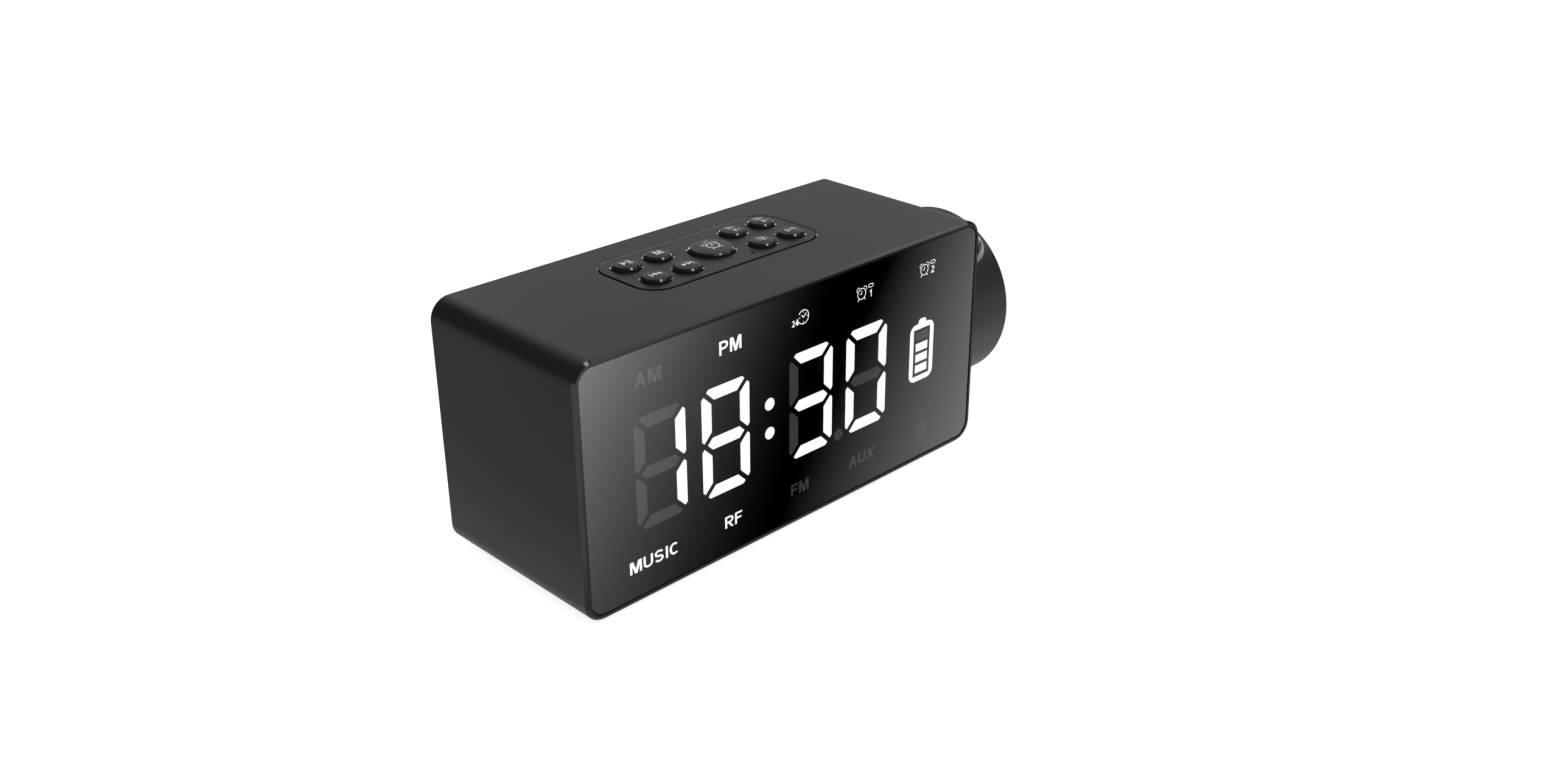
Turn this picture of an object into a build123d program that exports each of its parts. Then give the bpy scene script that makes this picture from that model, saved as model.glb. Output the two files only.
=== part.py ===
from build123d import *
import os
from math import cos, radians, sin, sqrt

# Projection alarm clock with loudspeakers. A moulded sleeve is closed by a smoked window in front
# and by a cover behind. Nine sprung buttons sit in a grooved plate on top, and a projector drum turns on a
# hollow hub in the right side wall.
# Millimetres. X runs right, Y runs back and Z runs up. The origin is the middle of the whole
# clock's footprint, on the surface that it stands on. Positions called x are counted from the
# housing's middle, depths from its front rim and heights from its underside.

os.makedirs("parts", exist_ok=True)

# Housing sleeve
body_width = 175.0
body_height = 83.0
body_depth = 68.3
corner_radius = 7.0
wall = 2.5
front_chamfer = 0.85
rim_width = 0.92
seat_gap = 0.05  # between fixed pieces that are dropped into a seat

# Smoked window and the display behind it
window_gap = 0.32
window_thickness = 2.0
window_recess = 0.3
ledge_thickness = 2.0
display_side_margin = 10.4  # from the window's edge to the opening behind it
display_end_margin = 4.9
display_corner = 2.0
mask_gap = 0.3
mask_thickness = 6.0
mask_flange = 2.0
diffuser_depth = 1.6
light_well = 1.0

# Digits: seven bars with 45 degree ends
time_shown = "1830"
digit_width = 19.6
digit_height = 36.75
bar_width = 4.0
bar_gap = 1.1
bar_tip = 0.9
middle_inset = 2.25
digit_pitch = 25.95
pair_spread = 31.4  # from the colon to the middle of a pair of digits
colon_x = -11.95
digit_rise = -0.6  # from the housing's middle height
dot_radius = 2.1
colon_spread = 5.0
point_x = 19.45
point_drop = 16.85

# Battery symbol
battery_x = 60.4
battery_width = 12.3
battery_height = 21.3
battery_rise = -0.25
battery_corner = 3.0
battery_line = 2.0
battery_cap_width = 4.1
battery_cap_height = 1.7
battery_cap_corner = 1.4
charge_bar_width = 6.1
charge_bar_height = 2.95
charge_bar_pitch = 4.0
charge_bars = 4
charge_bars_lit = 3

# Circuit boards and the screws that hold them
board_thickness = 1.6
board_side_gap = 1.5
display_boss_radius = 3.0
display_boss_z = 25.0
post_radius = 2.5
pilot_radius = 0.9
screw_length = 5.0
screw_head_radius = 2.0
screw_head_height = 1.3
screw_hole_radius = 1.3
chip_height = 1.4

# Keypad
keypad_x = 0.4
keypad_middle = 41.05
keypad_width = 77.9
keypad_depth = 33.9
keypad_corner = 9.8
keypad_lip = 1.8  # radius of the rounded edge round the keypad
keypad_groove = 1.55  # from that edge to the flush plate that holds the buttons
keys_middle = 41.05  # depth of the middle between the two rows
key_pitch_x = 13.0
key_pitch_y = 14.05
left_keys_x = -22.2
right_keys_x = 23.2
snooze_x = 0.85
key_radius = 4.5
snooze_radius = 7.45
key_gap = 0.15
hole_chamfer = 0.55
key_rise = 1.2  # shoulder above the plate
key_crown = 0.55
key_edge = 0.5  # chamfer round the dome
key_wall = 1.0
key_flange = 0.9
key_flange_thickness = 0.9
key_float = 0.15
key_travel = 0.6
key_stem_radius = 1.8
key_stem_drop = 0.5

# Tactile switches
switch_size = 6.0
switch_height = 3.4
plunger_radius = 1.6
plunger_rise = 1.5
plunger_depth = 1.0
plunger_gap = 0.08
well_spare = 0.4
key_board_middle = 40.4
key_board_width = 88.0
key_board_depth = 34.0
key_post_inset_x = 3.0
key_post_inset_y = 3.5

# Microphone
microphone_x = 8.6
microphone_depth = 30.0
microphone_hole = 0.6
microphone_radius = 2.0
microphone_length = 2.0
microphone_collar = 0.9

# Rear cover, its screws and the loudspeakers on it
cover_thickness = 2.5
cover_recess = 0.8
cover_gap = 0.15
block_size = 8.0
block_length = 20.0
cover_pilot_radius = 1.1
cover_screw_length = 11.0
cover_screw_hole = 1.6
cover_head_radius = 2.6
cover_head_height = 1.5
cover_head_gap = 0.3
speaker_x = 52.0
speaker_height = 43.5
speaker_radius = 20.0
speaker_flange = 2.0
cone_radius = 17.0
coil_radius = 6.2
basket_radius = 11.0
basket_depth = 11.0
basket_sheet = 1.0
magnet_radius = 12.5
magnet_thickness = 6.0
paper = 0.5
surround_width = 2.6
clamp_radius = 2.4
clamp_overlap = 0.8
grille_radius = 16.5
grille_slot = 2.0
grille_pitch = 4.0

# Main board and the sockets on it
main_board_width = 98.0
main_board_gap = 2.0  # to the cell's cradle in front of it
main_board_clearance = 0.4  # to the rear cover
main_post_height = 6.0
main_post_radius = 3.0
main_post_inset = 4.0
usb_x = -16.0
usb_width = 8.9
usb_height = 3.2
usb_length = 7.4
usb_shell = 0.35
usb_tongue_width = 6.6
usb_tongue_height = 0.7
audio_x = 0.0
audio_width = 6.4
audio_height = 6.0
audio_length = 12.0
audio_nose_radius = 2.9
audio_bore_radius = 1.8
audio_bore_length = 13.0
card_x = 15.5
card_width = 14.0
card_height = 1.9
card_length = 15.0
card_slot_width = 11.4
card_slot_height = 1.1
card_end = 1.0
port_clearance = 0.35

# Rechargeable cell in its cradle
cell_radius = 9.2
cell_length = 65.0
cell_cap_radius = 3.0
cell_cap_height = 1.0
cradle_wall = 1.5
cradle_height = 12.0
cradle_gap = 2.0  # to the display board
cell_x = -4.0

# Feet
foot_drop = 1.5  # how far the feet hold the housing off the table
foot_radius = 5.5
foot_pocket = 1.0
foot_inset_x = 15.0
foot_inset_y = 13.0
foot_edge = 0.3

# Leads
ribbon_width = 12.0
ribbon_thickness = 0.5
ribbon_bend = 3.0
ribbon_x = -33.0
lead_radius = 0.7
lead_bend = 2.5

# Projector drum
drum_radius = 31.5
drum_thickness = 21.5
drum_gap = 0.4
drum_wall = 1.8
drum_edge = 0.35
lens_elevation = 55.0
base_thickness = 1.7
base_gap = 0.1
hub_radius = 9.0
hub_bore = 6.2
hub_gap = 0.05
hub_boss_radius = 12.5
hub_boss_height = 3.0
washer_gap = 0.2
washer_thickness = 0.6
retainer_radius = 13.0
retainer_thickness = 2.0
drum_post_radius = 3.0
drum_post_distance = 24.0
drum_posts = 3
flat_screw_radius = 0.85
flat_screw_head = 1.6
flat_screw_head_height = 0.9
flat_screw_length = 6.0
retainer_screw_distance = 7.6
bezel_radius = 9.0
bezel_throat = 7.2
bezel_depth = 3.3
bezel_slope = 0.9
bezel_land = 0.25
barrel_radius = 8.3
barrel_bore = 7.4
barrel_end = 7.0  # from the drum's axis
lens_thickness = 2.2
lens_crown = 1.8
lens_setback = 2.0
condenser_thickness = 2.6
condenser_place = 9.2
panel_thickness = 1.2
panel_place = 13.5
light_board_thickness = 1.6
light_radius = 2.2
light_height = 1.2

# Places that follow from the sizes
drum_reach = drum_gap + drum_thickness
body_x = -drum_reach / 2
front_y = -body_depth / 2
base_z = foot_drop
mid_z = base_z + body_height / 2
side_x = body_width / 2

pocket_inset = front_chamfer + rim_width
pocket_width = body_width - 2 * pocket_inset
pocket_height = body_height - 2 * pocket_inset
pocket_corner = corner_radius - pocket_inset
pocket_depth = window_recess + window_thickness
window_width = pocket_width - 2 * window_gap
window_height = pocket_height - 2 * window_gap
window_corner = pocket_corner - window_gap
display_width = window_width - 2 * display_side_margin
display_height = window_height - 2 * display_end_margin
ledge_back = pocket_depth + ledge_thickness
cavity_width = body_width - 2 * wall
cavity_height = body_height - 2 * wall
cavity_corner = corner_radius - wall
ceiling = body_height - wall

mask_front = pocket_depth + mask_gap
mask_back = mask_front + mask_thickness
display_board_back = mask_back + board_thickness
display_board_width = cavity_width - 2 * board_side_gap
display_boss_x = cavity_width / 2 - board_side_gap - display_boss_radius
pair_middles = [colon_x - pair_spread, colon_x + pair_spread]

key_shoulder = body_height + key_rise
key_apex = key_shoulder + key_crown
flange_top = ceiling - key_float
flange_bottom = flange_top - key_flange_thickness
stem_bottom = flange_bottom - key_stem_drop
switch_top = stem_bottom - plunger_rise
key_board_top = switch_top - switch_height
key_board_bottom = key_board_top - board_thickness

cover_back = body_depth - cover_recess
cover_front = cover_back - cover_thickness
block_x = cavity_width / 2 - block_size / 2
block_z = cavity_height / 2 - block_size / 2
speaker_rise = speaker_height - body_height / 2
clamp_circle = speaker_radius + clamp_radius

cradle_front = display_board_back + cradle_gap
cradle_depth = 2 * (cell_radius + seat_gap + cradle_wall)
cradle_length = cell_length + 2 * (cell_cap_height + cradle_wall)
cell_depth = cradle_front + cradle_depth / 2
cell_height = wall + cradle_wall + cell_radius + seat_gap
main_board_back = cover_front - main_board_clearance
main_board_front = cradle_front + cradle_depth + main_board_gap
main_board_depth = main_board_back - main_board_front
main_board_middle = (main_board_back + main_board_front) / 2
main_board_bottom = wall + main_post_height
main_board_top = main_board_bottom + board_thickness
main_post_x = main_board_width / 2 - main_post_inset
main_post_y = main_board_depth / 2 - main_post_inset
usb_rise = main_board_top + usb_height / 2 - body_height / 2
audio_rise = main_board_top + audio_height / 2 - body_height / 2
card_rise = main_board_top + card_height / 2 - body_height / 2

drum_inner_x = side_x + drum_gap
drum_cavity = drum_thickness - drum_wall
lens_x = drum_inner_x + drum_thickness / 2
axis_depth = body_depth / 2
hub_boss_face = side_x - wall - hub_boss_height
hub_end = hub_boss_face - washer_gap - washer_thickness
bezel_seat = drum_radius - bezel_depth
lens_back = bezel_seat - lens_setback - lens_crown - lens_thickness
axis_lead_end = hub_end - retainer_thickness - 4 * lead_radius

small_keys = {
    "play": (left_keys_x - key_pitch_x / 2, keys_middle + key_pitch_y / 2),
    "mode": (left_keys_x + key_pitch_x / 2, keys_middle + key_pitch_y / 2),
    "previous": (left_keys_x - key_pitch_x / 2, keys_middle - key_pitch_y / 2),
    "next": (left_keys_x + key_pitch_x / 2, keys_middle - key_pitch_y / 2),
    "volume_up": (right_keys_x - key_pitch_x / 2, keys_middle + key_pitch_y / 2),
    "volume_down": (right_keys_x + key_pitch_x / 2, keys_middle + key_pitch_y / 2),
    "light": (right_keys_x - key_pitch_x / 2, keys_middle - key_pitch_y / 2),
    "link": (right_keys_x + key_pitch_x / 2, keys_middle - key_pitch_y / 2),
}
keys = {name: (x, depth, key_radius) for name, (x, depth) in small_keys.items()}
keys["snooze"] = (snooze_x, keys_middle, snooze_radius)


def depth_plane(depth, x=0.0, rise=0.0):
    # Upright, facing the front: local x is X and local y is Z, counted from the housing's middle
    return Plane(origin=(body_x + x, front_y + depth, mid_z + rise), x_dir=(1, 0, 0), z_dir=(0, -1, 0))


def level_plane(height, x=0.0, depth=0.0):
    # Level, facing up: local x is X and local y is Y, counted from the front rim
    return Plane(origin=(body_x + x, front_y + depth, base_z + height))


def side_plane(x):
    # Upright, facing right, centred on the drum's axis: local x is Y and local y is Z
    return Plane(origin=(body_x + x, front_y + axis_depth, mid_z), x_dir=(0, 1, 0), z_dir=(1, 0, 0))


def lens_plane(distance):
    # Square to the lens's axis, at a distance from the drum's axis
    y = front_y + axis_depth - distance * cos(radians(lens_elevation))
    z = mid_z + distance * sin(radians(lens_elevation))
    facing = (0, -cos(radians(lens_elevation)), sin(radians(lens_elevation)))
    return Plane(origin=(body_x + lens_x, y, z), x_dir=(1, 0, 0), z_dir=facing)


def turning_plane(plane):
    # Holds the plane's normal, for a profile that is revolved about it: local y is that normal
    return Plane(origin=plane.origin, x_dir=plane.x_dir, z_dir=plane.x_dir.cross(plane.z_dir))


def finish(builder, label):
    builder.part.label = label
    export_step(builder.part, f"parts/{label}.step")


def add_pan_screw(plane, head_radius, head_height, shank_radius, shank_length):
    # A head standing on the plane with a cross recess, and a shank below it
    with BuildSketch(plane) as head:
        Circle(head_radius)
    extrude(head.sketch, amount=head_height)
    with BuildSketch(plane) as shank:
        Circle(shank_radius)
    extrude(shank.sketch, amount=-shank_length)
    with BuildSketch(plane.offset(head_height)) as cross:
        Rectangle(head_radius, head_radius / 4)
        Rectangle(head_radius / 4, head_radius)
    extrude(cross.sketch, amount=-head_height / 2, mode=Mode.SUBTRACT)


def add_flat_screw(plane):
    # A countersunk head flush with the plane, and a shank below it
    with BuildSketch(turning_plane(plane)) as half:
        Polygon(
            (0, 0),
            (flat_screw_head, 0),
            (flat_screw_radius, -flat_screw_head_height),
            (flat_screw_radius, -flat_screw_length),
            (0, -flat_screw_length),
        )
    revolve(half.sketch, axis=Axis(plane.origin, plane.z_dir))
    with BuildSketch(plane) as cross:
        Rectangle(flat_screw_head, flat_screw_head / 4)
        Rectangle(flat_screw_head / 4, flat_screw_head)
    extrude(cross.sketch, amount=-flat_screw_head_height / 2, mode=Mode.SUBTRACT)


def cut_flat_screw_hole(plane, depth):
    # A countersink and a clearance hole through a sheet of the given depth
    rim = flat_screw_head + seat_gap
    hole = flat_screw_radius + seat_gap
    with BuildSketch(turning_plane(plane)) as half:
        Polygon(
            (0, 0),
            (rim, 0),
            (hole, -flat_screw_head_height - seat_gap),
            (hole, -depth),
            (0, -depth),
        )
    revolve(half.sketch, axis=Axis(plane.origin, plane.z_dir), mode=Mode.SUBTRACT)


# The bars of a digit about its own middle, named a to g clockwise from the top
half_width = digit_width / 2
half_height = digit_height / 2
shoulder = bar_gap + bar_width
top_bar = [
    (-half_width + bar_gap + bar_tip, half_height - bar_tip),
    (-half_width + bar_gap + 2 * bar_tip, half_height),
    (half_width - bar_gap - 2 * bar_tip, half_height),
    (half_width - bar_gap - bar_tip, half_height - bar_tip),
    (half_width - shoulder, half_height - bar_width),
    (-half_width + shoulder, half_height - bar_width),
]
side_bar = [
    (half_width - bar_tip, half_height - bar_gap - bar_tip),
    (half_width, half_height - bar_gap - 2 * bar_tip),
    (half_width, 2 * bar_tip),
    (half_width - bar_tip, bar_tip),
    (half_width - bar_width, bar_width),
    (half_width - bar_width, half_height - shoulder),
]
middle_bar = [
    (-half_width + middle_inset, 0),
    (-half_width + middle_inset + bar_width / 2, bar_width / 2),
    (half_width - middle_inset - bar_width / 2, bar_width / 2),
    (half_width - middle_inset, 0),
    (half_width - middle_inset - bar_width / 2, -bar_width / 2),
    (-half_width + middle_inset + bar_width / 2, -bar_width / 2),
]
bars = {
    "a": top_bar,
    "b": side_bar,
    "c": [(x, -y) for x, y in side_bar],
    "d": [(x, -y) for x, y in top_bar],
    "e": [(-x, -y) for x, y in side_bar],
    "f": [(-x, y) for x, y in side_bar],
    "g": middle_bar,
}
bars_of_digit = {
    "0": "abcdef",
    "1": "bc",
    "2": "abdeg",
    "3": "abcdg",
    "4": "bcfg",
    "5": "acdfg",
    "6": "acdefg",
    "7": "abc",
    "8": "abcdefg",
    "9": "abcdfg",
}
digit_places = [middle + side * digit_pitch / 2 for middle in pair_middles for side in (-1, 1)]


def draw_bars(lit):
    for place, digit in zip(digit_places, time_shown):
        for name, outline in bars.items():
            if (name in bars_of_digit[digit]) == lit:
                with Locations((place, digit_rise)):
                    Polygon(*outline)


def draw_charge_bars(lit):
    for step in range(charge_bars):
        rise = battery_rise + (step - (charge_bars - 1) / 2) * charge_bar_pitch
        if (step < charge_bars_lit) == lit:
            with Locations((battery_x, rise)):
                Rectangle(charge_bar_width, charge_bar_height)


def draw_battery_outline():
    with Locations((battery_x, battery_rise)):
        RectangleRounded(battery_width, battery_height, battery_corner)
    with Locations((battery_x, battery_rise + battery_height / 2)):
        RectangleRounded(battery_cap_width, 2 * battery_cap_height, battery_cap_corner)
    with Locations((battery_x, battery_rise)):
        Rectangle(
            battery_width - 2 * battery_line,
            battery_height - 2 * battery_line,
            mode=Mode.SUBTRACT,
        )


def draw_colon():
    with Locations((colon_x, digit_rise + colon_spread), (colon_x, digit_rise - colon_spread)):
        Circle(dot_radius)


def draw_point():
    with Locations((point_x, digit_rise - point_drop)):
        Circle(dot_radius)


def key_board_posts():
    post_x = key_board_width / 2 - key_post_inset_x
    post_y = key_board_depth / 2 - key_post_inset_y
    return [(x, y) for x in (-post_x, post_x) for y in (-post_y, post_y)]


# The sleeve: window seat, corner blocks, keypad, posts, hub bearing and foot pockets
with BuildPart() as housing:
    with BuildSketch(depth_plane(0)):
        RectangleRounded(body_width, body_height, corner_radius)
    extrude(amount=-body_depth)
    chamfer(housing.faces().sort_by(Axis.Y)[0].edges(), front_chamfer)
    with BuildSketch(depth_plane(0)):
        RectangleRounded(pocket_width, pocket_height, pocket_corner)
    extrude(amount=-pocket_depth, mode=Mode.SUBTRACT)
    with BuildSketch(depth_plane(pocket_depth)):
        RectangleRounded(display_width, display_height, display_corner)
    extrude(amount=-ledge_thickness, mode=Mode.SUBTRACT)
    with BuildSketch(depth_plane(ledge_back)):
        RectangleRounded(cavity_width, cavity_height, cavity_corner)
    extrude(amount=ledge_back - body_depth, mode=Mode.SUBTRACT)

    # Bosses behind the ledge that carry the display board
    with BuildSketch(depth_plane(ledge_back)):
        with GridLocations(2 * display_boss_x, 2 * display_boss_z, 2, 2):
            Circle(display_boss_radius)
    extrude(amount=ledge_back - mask_back)
    with BuildSketch(depth_plane(mask_back)):
        with GridLocations(2 * display_boss_x, 2 * display_boss_z, 2, 2):
            Circle(pilot_radius)
    extrude(amount=screw_length, mode=Mode.SUBTRACT)

    # Corner blocks that take the rear cover's screws
    with BuildSketch(depth_plane(cover_front)):
        with GridLocations(2 * block_x, 2 * block_z, 2, 2):
            Rectangle(block_size, block_size)
    extrude(amount=block_length)
    with BuildSketch(depth_plane(cover_front)):
        with GridLocations(2 * block_x, 2 * block_z, 2, 2):
            Circle(cover_pilot_radius)
    extrude(amount=cover_screw_length, mode=Mode.SUBTRACT)

    # Keypad: an opening through the wall gets a round lip, and a flush plate closes all but a groove
    with BuildSketch(level_plane(body_height, keypad_x, keypad_middle)):
        RectangleRounded(
            keypad_width - 2 * keypad_lip,
            keypad_depth - 2 * keypad_lip,
            keypad_corner - keypad_lip,
        )
    extrude(amount=-wall, mode=Mode.SUBTRACT)
    top_face = housing.faces().filter_by(Axis.Z).sort_by(Axis.Z)[-1]
    fillet(top_face.inner_wires()[0].edges(), keypad_lip)
    with BuildSketch(level_plane(body_height, keypad_x, keypad_middle)):
        RectangleRounded(
            keypad_width - 2 * keypad_groove,
            keypad_depth - 2 * keypad_groove,
            keypad_corner - keypad_groove,
        )
    extrude(amount=-wall)
    for key_x, key_depth, radius in keys.values():
        with BuildSketch(level_plane(body_height, key_x, key_depth)):
            Circle(radius + key_gap)
        extrude(amount=-wall, mode=Mode.SUBTRACT)
        with BuildSketch(level_plane(body_height, key_x, key_depth)):
            Circle(radius + key_gap + hole_chamfer)
        with BuildSketch(level_plane(body_height - hole_chamfer, key_x, key_depth)):
            Circle(radius + key_gap)
        loft(mode=Mode.SUBTRACT)

    # Microphone hole and the collar that holds the capsule under it
    with BuildSketch(level_plane(ceiling, microphone_x, microphone_depth)):
        Circle(microphone_radius + microphone_collar)
    extrude(amount=-microphone_length)
    with BuildSketch(level_plane(ceiling, microphone_x, microphone_depth)):
        Circle(microphone_radius + seat_gap)
    extrude(amount=-microphone_length, mode=Mode.SUBTRACT)
    with BuildSketch(level_plane(body_height, microphone_x, microphone_depth)):
        Circle(microphone_hole)
    extrude(amount=-wall, mode=Mode.SUBTRACT)

    # Posts that carry the key board and the main board
    with BuildSketch(level_plane(ceiling, depth=key_board_middle)):
        with Locations(*key_board_posts()):
            Circle(post_radius)
    extrude(amount=key_board_top - ceiling)
    with BuildSketch(level_plane(key_board_top, depth=key_board_middle)):
        with Locations(*key_board_posts()):
            Circle(pilot_radius)
    extrude(amount=screw_length, mode=Mode.SUBTRACT)
    with BuildSketch(level_plane(wall, depth=main_board_middle)):
        with GridLocations(2 * main_post_x, 2 * main_post_y, 2, 2):
            Circle(main_post_radius)
    extrude(amount=main_post_height)
    with BuildSketch(level_plane(main_board_bottom, depth=main_board_middle)):
        with GridLocations(2 * main_post_x, 2 * main_post_y, 2, 2):
            Circle(pilot_radius)
    extrude(amount=-screw_length, mode=Mode.SUBTRACT)

    # Bearing for the projector's hub in the right side wall
    with BuildSketch(side_plane(side_x - wall)):
        Circle(hub_boss_radius)
    extrude(amount=-hub_boss_height)
    with BuildSketch(side_plane(side_x)):
        Circle(hub_radius + hub_gap)
    extrude(amount=hub_boss_face - side_x, mode=Mode.SUBTRACT)

    # Pockets for the feet
    with BuildSketch(level_plane(0, depth=body_depth / 2)):
        with GridLocations(body_width - 2 * foot_inset_x, body_depth - 2 * foot_inset_y, 2, 2):
            Circle(foot_radius + seat_gap)
    extrude(amount=foot_pocket, mode=Mode.SUBTRACT)
finish(housing, "housing")

with BuildPart() as rubber_feet:
    with BuildSketch(level_plane(foot_pocket, depth=body_depth / 2)):
        with GridLocations(body_width - 2 * foot_inset_x, body_depth - 2 * foot_inset_y, 2, 2):
            Circle(foot_radius)
    extrude(amount=-foot_pocket - foot_drop)
    fillet(rubber_feet.faces().group_by(Axis.Z)[0].edges(), foot_edge)
finish(rubber_feet, "rubber_feet")

# Window, light mask, diffusers and display board, from front to back
with BuildPart() as front_window:
    with BuildSketch(depth_plane(window_recess)):
        RectangleRounded(window_width, window_height, window_corner)
    extrude(amount=-window_thickness)
finish(front_window, "front_window")

with BuildPart() as display_mask:
    with BuildSketch(depth_plane(mask_front)):
        RectangleRounded(display_width - 2 * seat_gap, display_height - 2 * seat_gap, display_corner)
    extrude(amount=-mask_thickness)
    with BuildSketch(depth_plane(ledge_back)):
        Rectangle(display_width + 2 * mask_flange, display_height + 2 * mask_flange)
    extrude(amount=ledge_back - mask_back)
    with BuildSketch(depth_plane(mask_front)):
        draw_bars(True)
        draw_bars(False)
        draw_charge_bars(True)
        draw_charge_bars(False)
        draw_colon()
        draw_point()
    extrude(amount=-mask_thickness, mode=Mode.SUBTRACT)
    with BuildSketch(depth_plane(mask_front)):
        draw_battery_outline()
    extrude(amount=-diffuser_depth, mode=Mode.SUBTRACT)
    # Light wells behind the battery outline
    with BuildSketch(depth_plane(mask_front, battery_x, battery_rise)):
        with GridLocations(battery_width - battery_line, battery_height / 2, 2, 2):
            Circle(light_well / 2)
    extrude(amount=-mask_thickness, mode=Mode.SUBTRACT)
finish(display_mask, "display_mask")

with BuildPart() as lit_segments:
    with BuildSketch(depth_plane(mask_front)):
        draw_battery_outline()
        draw_charge_bars(True)
        draw_bars(True)
        draw_colon()
    extrude(amount=-diffuser_depth)
finish(lit_segments, "lit_segments")

with BuildPart() as dim_segments:
    with BuildSketch(depth_plane(mask_front)):
        draw_bars(False)
        draw_charge_bars(False)
        draw_point()
    extrude(amount=-diffuser_depth)
finish(dim_segments, "dim_segments")

with BuildPart() as display_board:
    with BuildSketch(depth_plane(mask_back)):
        Rectangle(display_board_width, display_height + 2 * mask_flange)
        with GridLocations(2 * display_boss_x, 2 * display_boss_z, 2, 2):
            Circle(screw_hole_radius, mode=Mode.SUBTRACT)
    extrude(amount=-board_thickness)
finish(display_board, "display_board")

# One light-emitting diode behind each bar and each dot
led_width = 1.6
led_length = 1.0
led_height = 0.8
side_bar_rise = half_height / 2
bar_middles = [
    (0, half_height - bar_width / 2),
    (half_width - bar_width / 2, side_bar_rise),
    (half_width - bar_width / 2, -side_bar_rise),
    (0, -half_height + bar_width / 2),
    (-half_width + bar_width / 2, -side_bar_rise),
    (-half_width + bar_width / 2, side_bar_rise),
    (0, 0),
]
charge_rises = [
    battery_rise + (step - (charge_bars - 1) / 2) * charge_bar_pitch for step in range(charge_bars)
]
led_places = [(place + x, digit_rise + y) for place in digit_places for x, y in bar_middles]
led_places += [(battery_x, rise) for rise in charge_rises]
led_places += [(colon_x, digit_rise + colon_spread), (colon_x, digit_rise - colon_spread)]
led_places += [(point_x, digit_rise - point_drop)]
with BuildPart() as display_leds:
    with BuildSketch(depth_plane(mask_back)):
        with Locations(*led_places):
            Rectangle(led_width, led_length)
    extrude(amount=led_height)
finish(display_leds, "display_leds")

# Buttons: a hollow cap under each hole, a plunger below it and a switch on the key board
for name, (key_x, key_depth, radius) in keys.items():
    key_plane = level_plane(0, key_x, key_depth)
    hollow_top = key_shoulder - key_edge - key_wall
    crown_radius = (radius**2 + key_crown**2) / (2 * key_crown)
    crown_middle = key_apex - crown_radius + sqrt(crown_radius**2 - (radius / 2) ** 2)
    with BuildPart() as key_cap:
        with BuildSketch(turning_plane(key_plane)):
            with BuildLine():
                Polyline(
                    (0, key_apex),
                    (0, stem_bottom),
                    (key_stem_radius, stem_bottom),
                    (key_stem_radius, hollow_top),
                    (radius - key_wall, hollow_top),
                    (radius - key_wall, flange_bottom),
                    (radius + key_flange, flange_bottom),
                    (radius + key_flange, flange_top),
                    (radius, flange_top),
                    (radius, key_shoulder),
                )
                ThreePointArc((radius, key_shoulder), (radius / 2, crown_middle), (0, key_apex))
            make_face()
        revolve(axis=Axis(key_plane.origin, key_plane.z_dir))
        rims = key_cap.edges().filter_by(lambda edge: edge.is_closed)
        chamfer(rims.sort_by(Axis.Z)[-1], key_edge)
    finish(key_cap, f"{name}_key")

    with BuildPart() as plunger:
        with BuildSketch(level_plane(stem_bottom, key_x, key_depth)):
            Circle(plunger_radius)
        extrude(amount=-plunger_rise - plunger_depth)
    finish(plunger, f"{name}_plunger")

key_points = [(key_x, key_depth) for key_x, key_depth, radius in keys.values()]
with BuildPart() as key_switches:
    with BuildSketch(level_plane(key_board_top)):
        with Locations(*key_points):
            Rectangle(switch_size, switch_size)
    extrude(amount=switch_height)
    with BuildSketch(level_plane(switch_top)):
        with Locations(*key_points):
            Circle(plunger_radius + plunger_gap)
    extrude(amount=-plunger_depth - key_travel - well_spare, mode=Mode.SUBTRACT)
finish(key_switches, "key_switches")

with BuildPart() as key_board:
    with BuildSketch(level_plane(key_board_top, depth=key_board_middle)):
        Rectangle(key_board_width, key_board_depth)
        with Locations(*key_board_posts()):
            Circle(screw_hole_radius, mode=Mode.SUBTRACT)
    extrude(amount=-board_thickness)
finish(key_board, "key_board")

with BuildPart() as microphone:
    with BuildSketch(level_plane(ceiling, microphone_x, microphone_depth)):
        Circle(microphone_radius)
    extrude(amount=-microphone_length)
    with BuildSketch(level_plane(ceiling, microphone_x, microphone_depth)):
        Circle(microphone_hole)
    extrude(amount=-microphone_length / 2, mode=Mode.SUBTRACT)
finish(microphone, "microphone")

# Main board on its posts, with the sockets that reach the rear cover, and the cell in its cradle
with BuildPart() as main_board:
    with BuildSketch(level_plane(main_board_top, depth=main_board_middle)):
        Rectangle(main_board_width, main_board_depth)
        with GridLocations(2 * main_post_x, 2 * main_post_y, 2, 2):
            Circle(screw_hole_radius, mode=Mode.SUBTRACT)
    extrude(amount=-board_thickness)
finish(main_board, "main_board")

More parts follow.
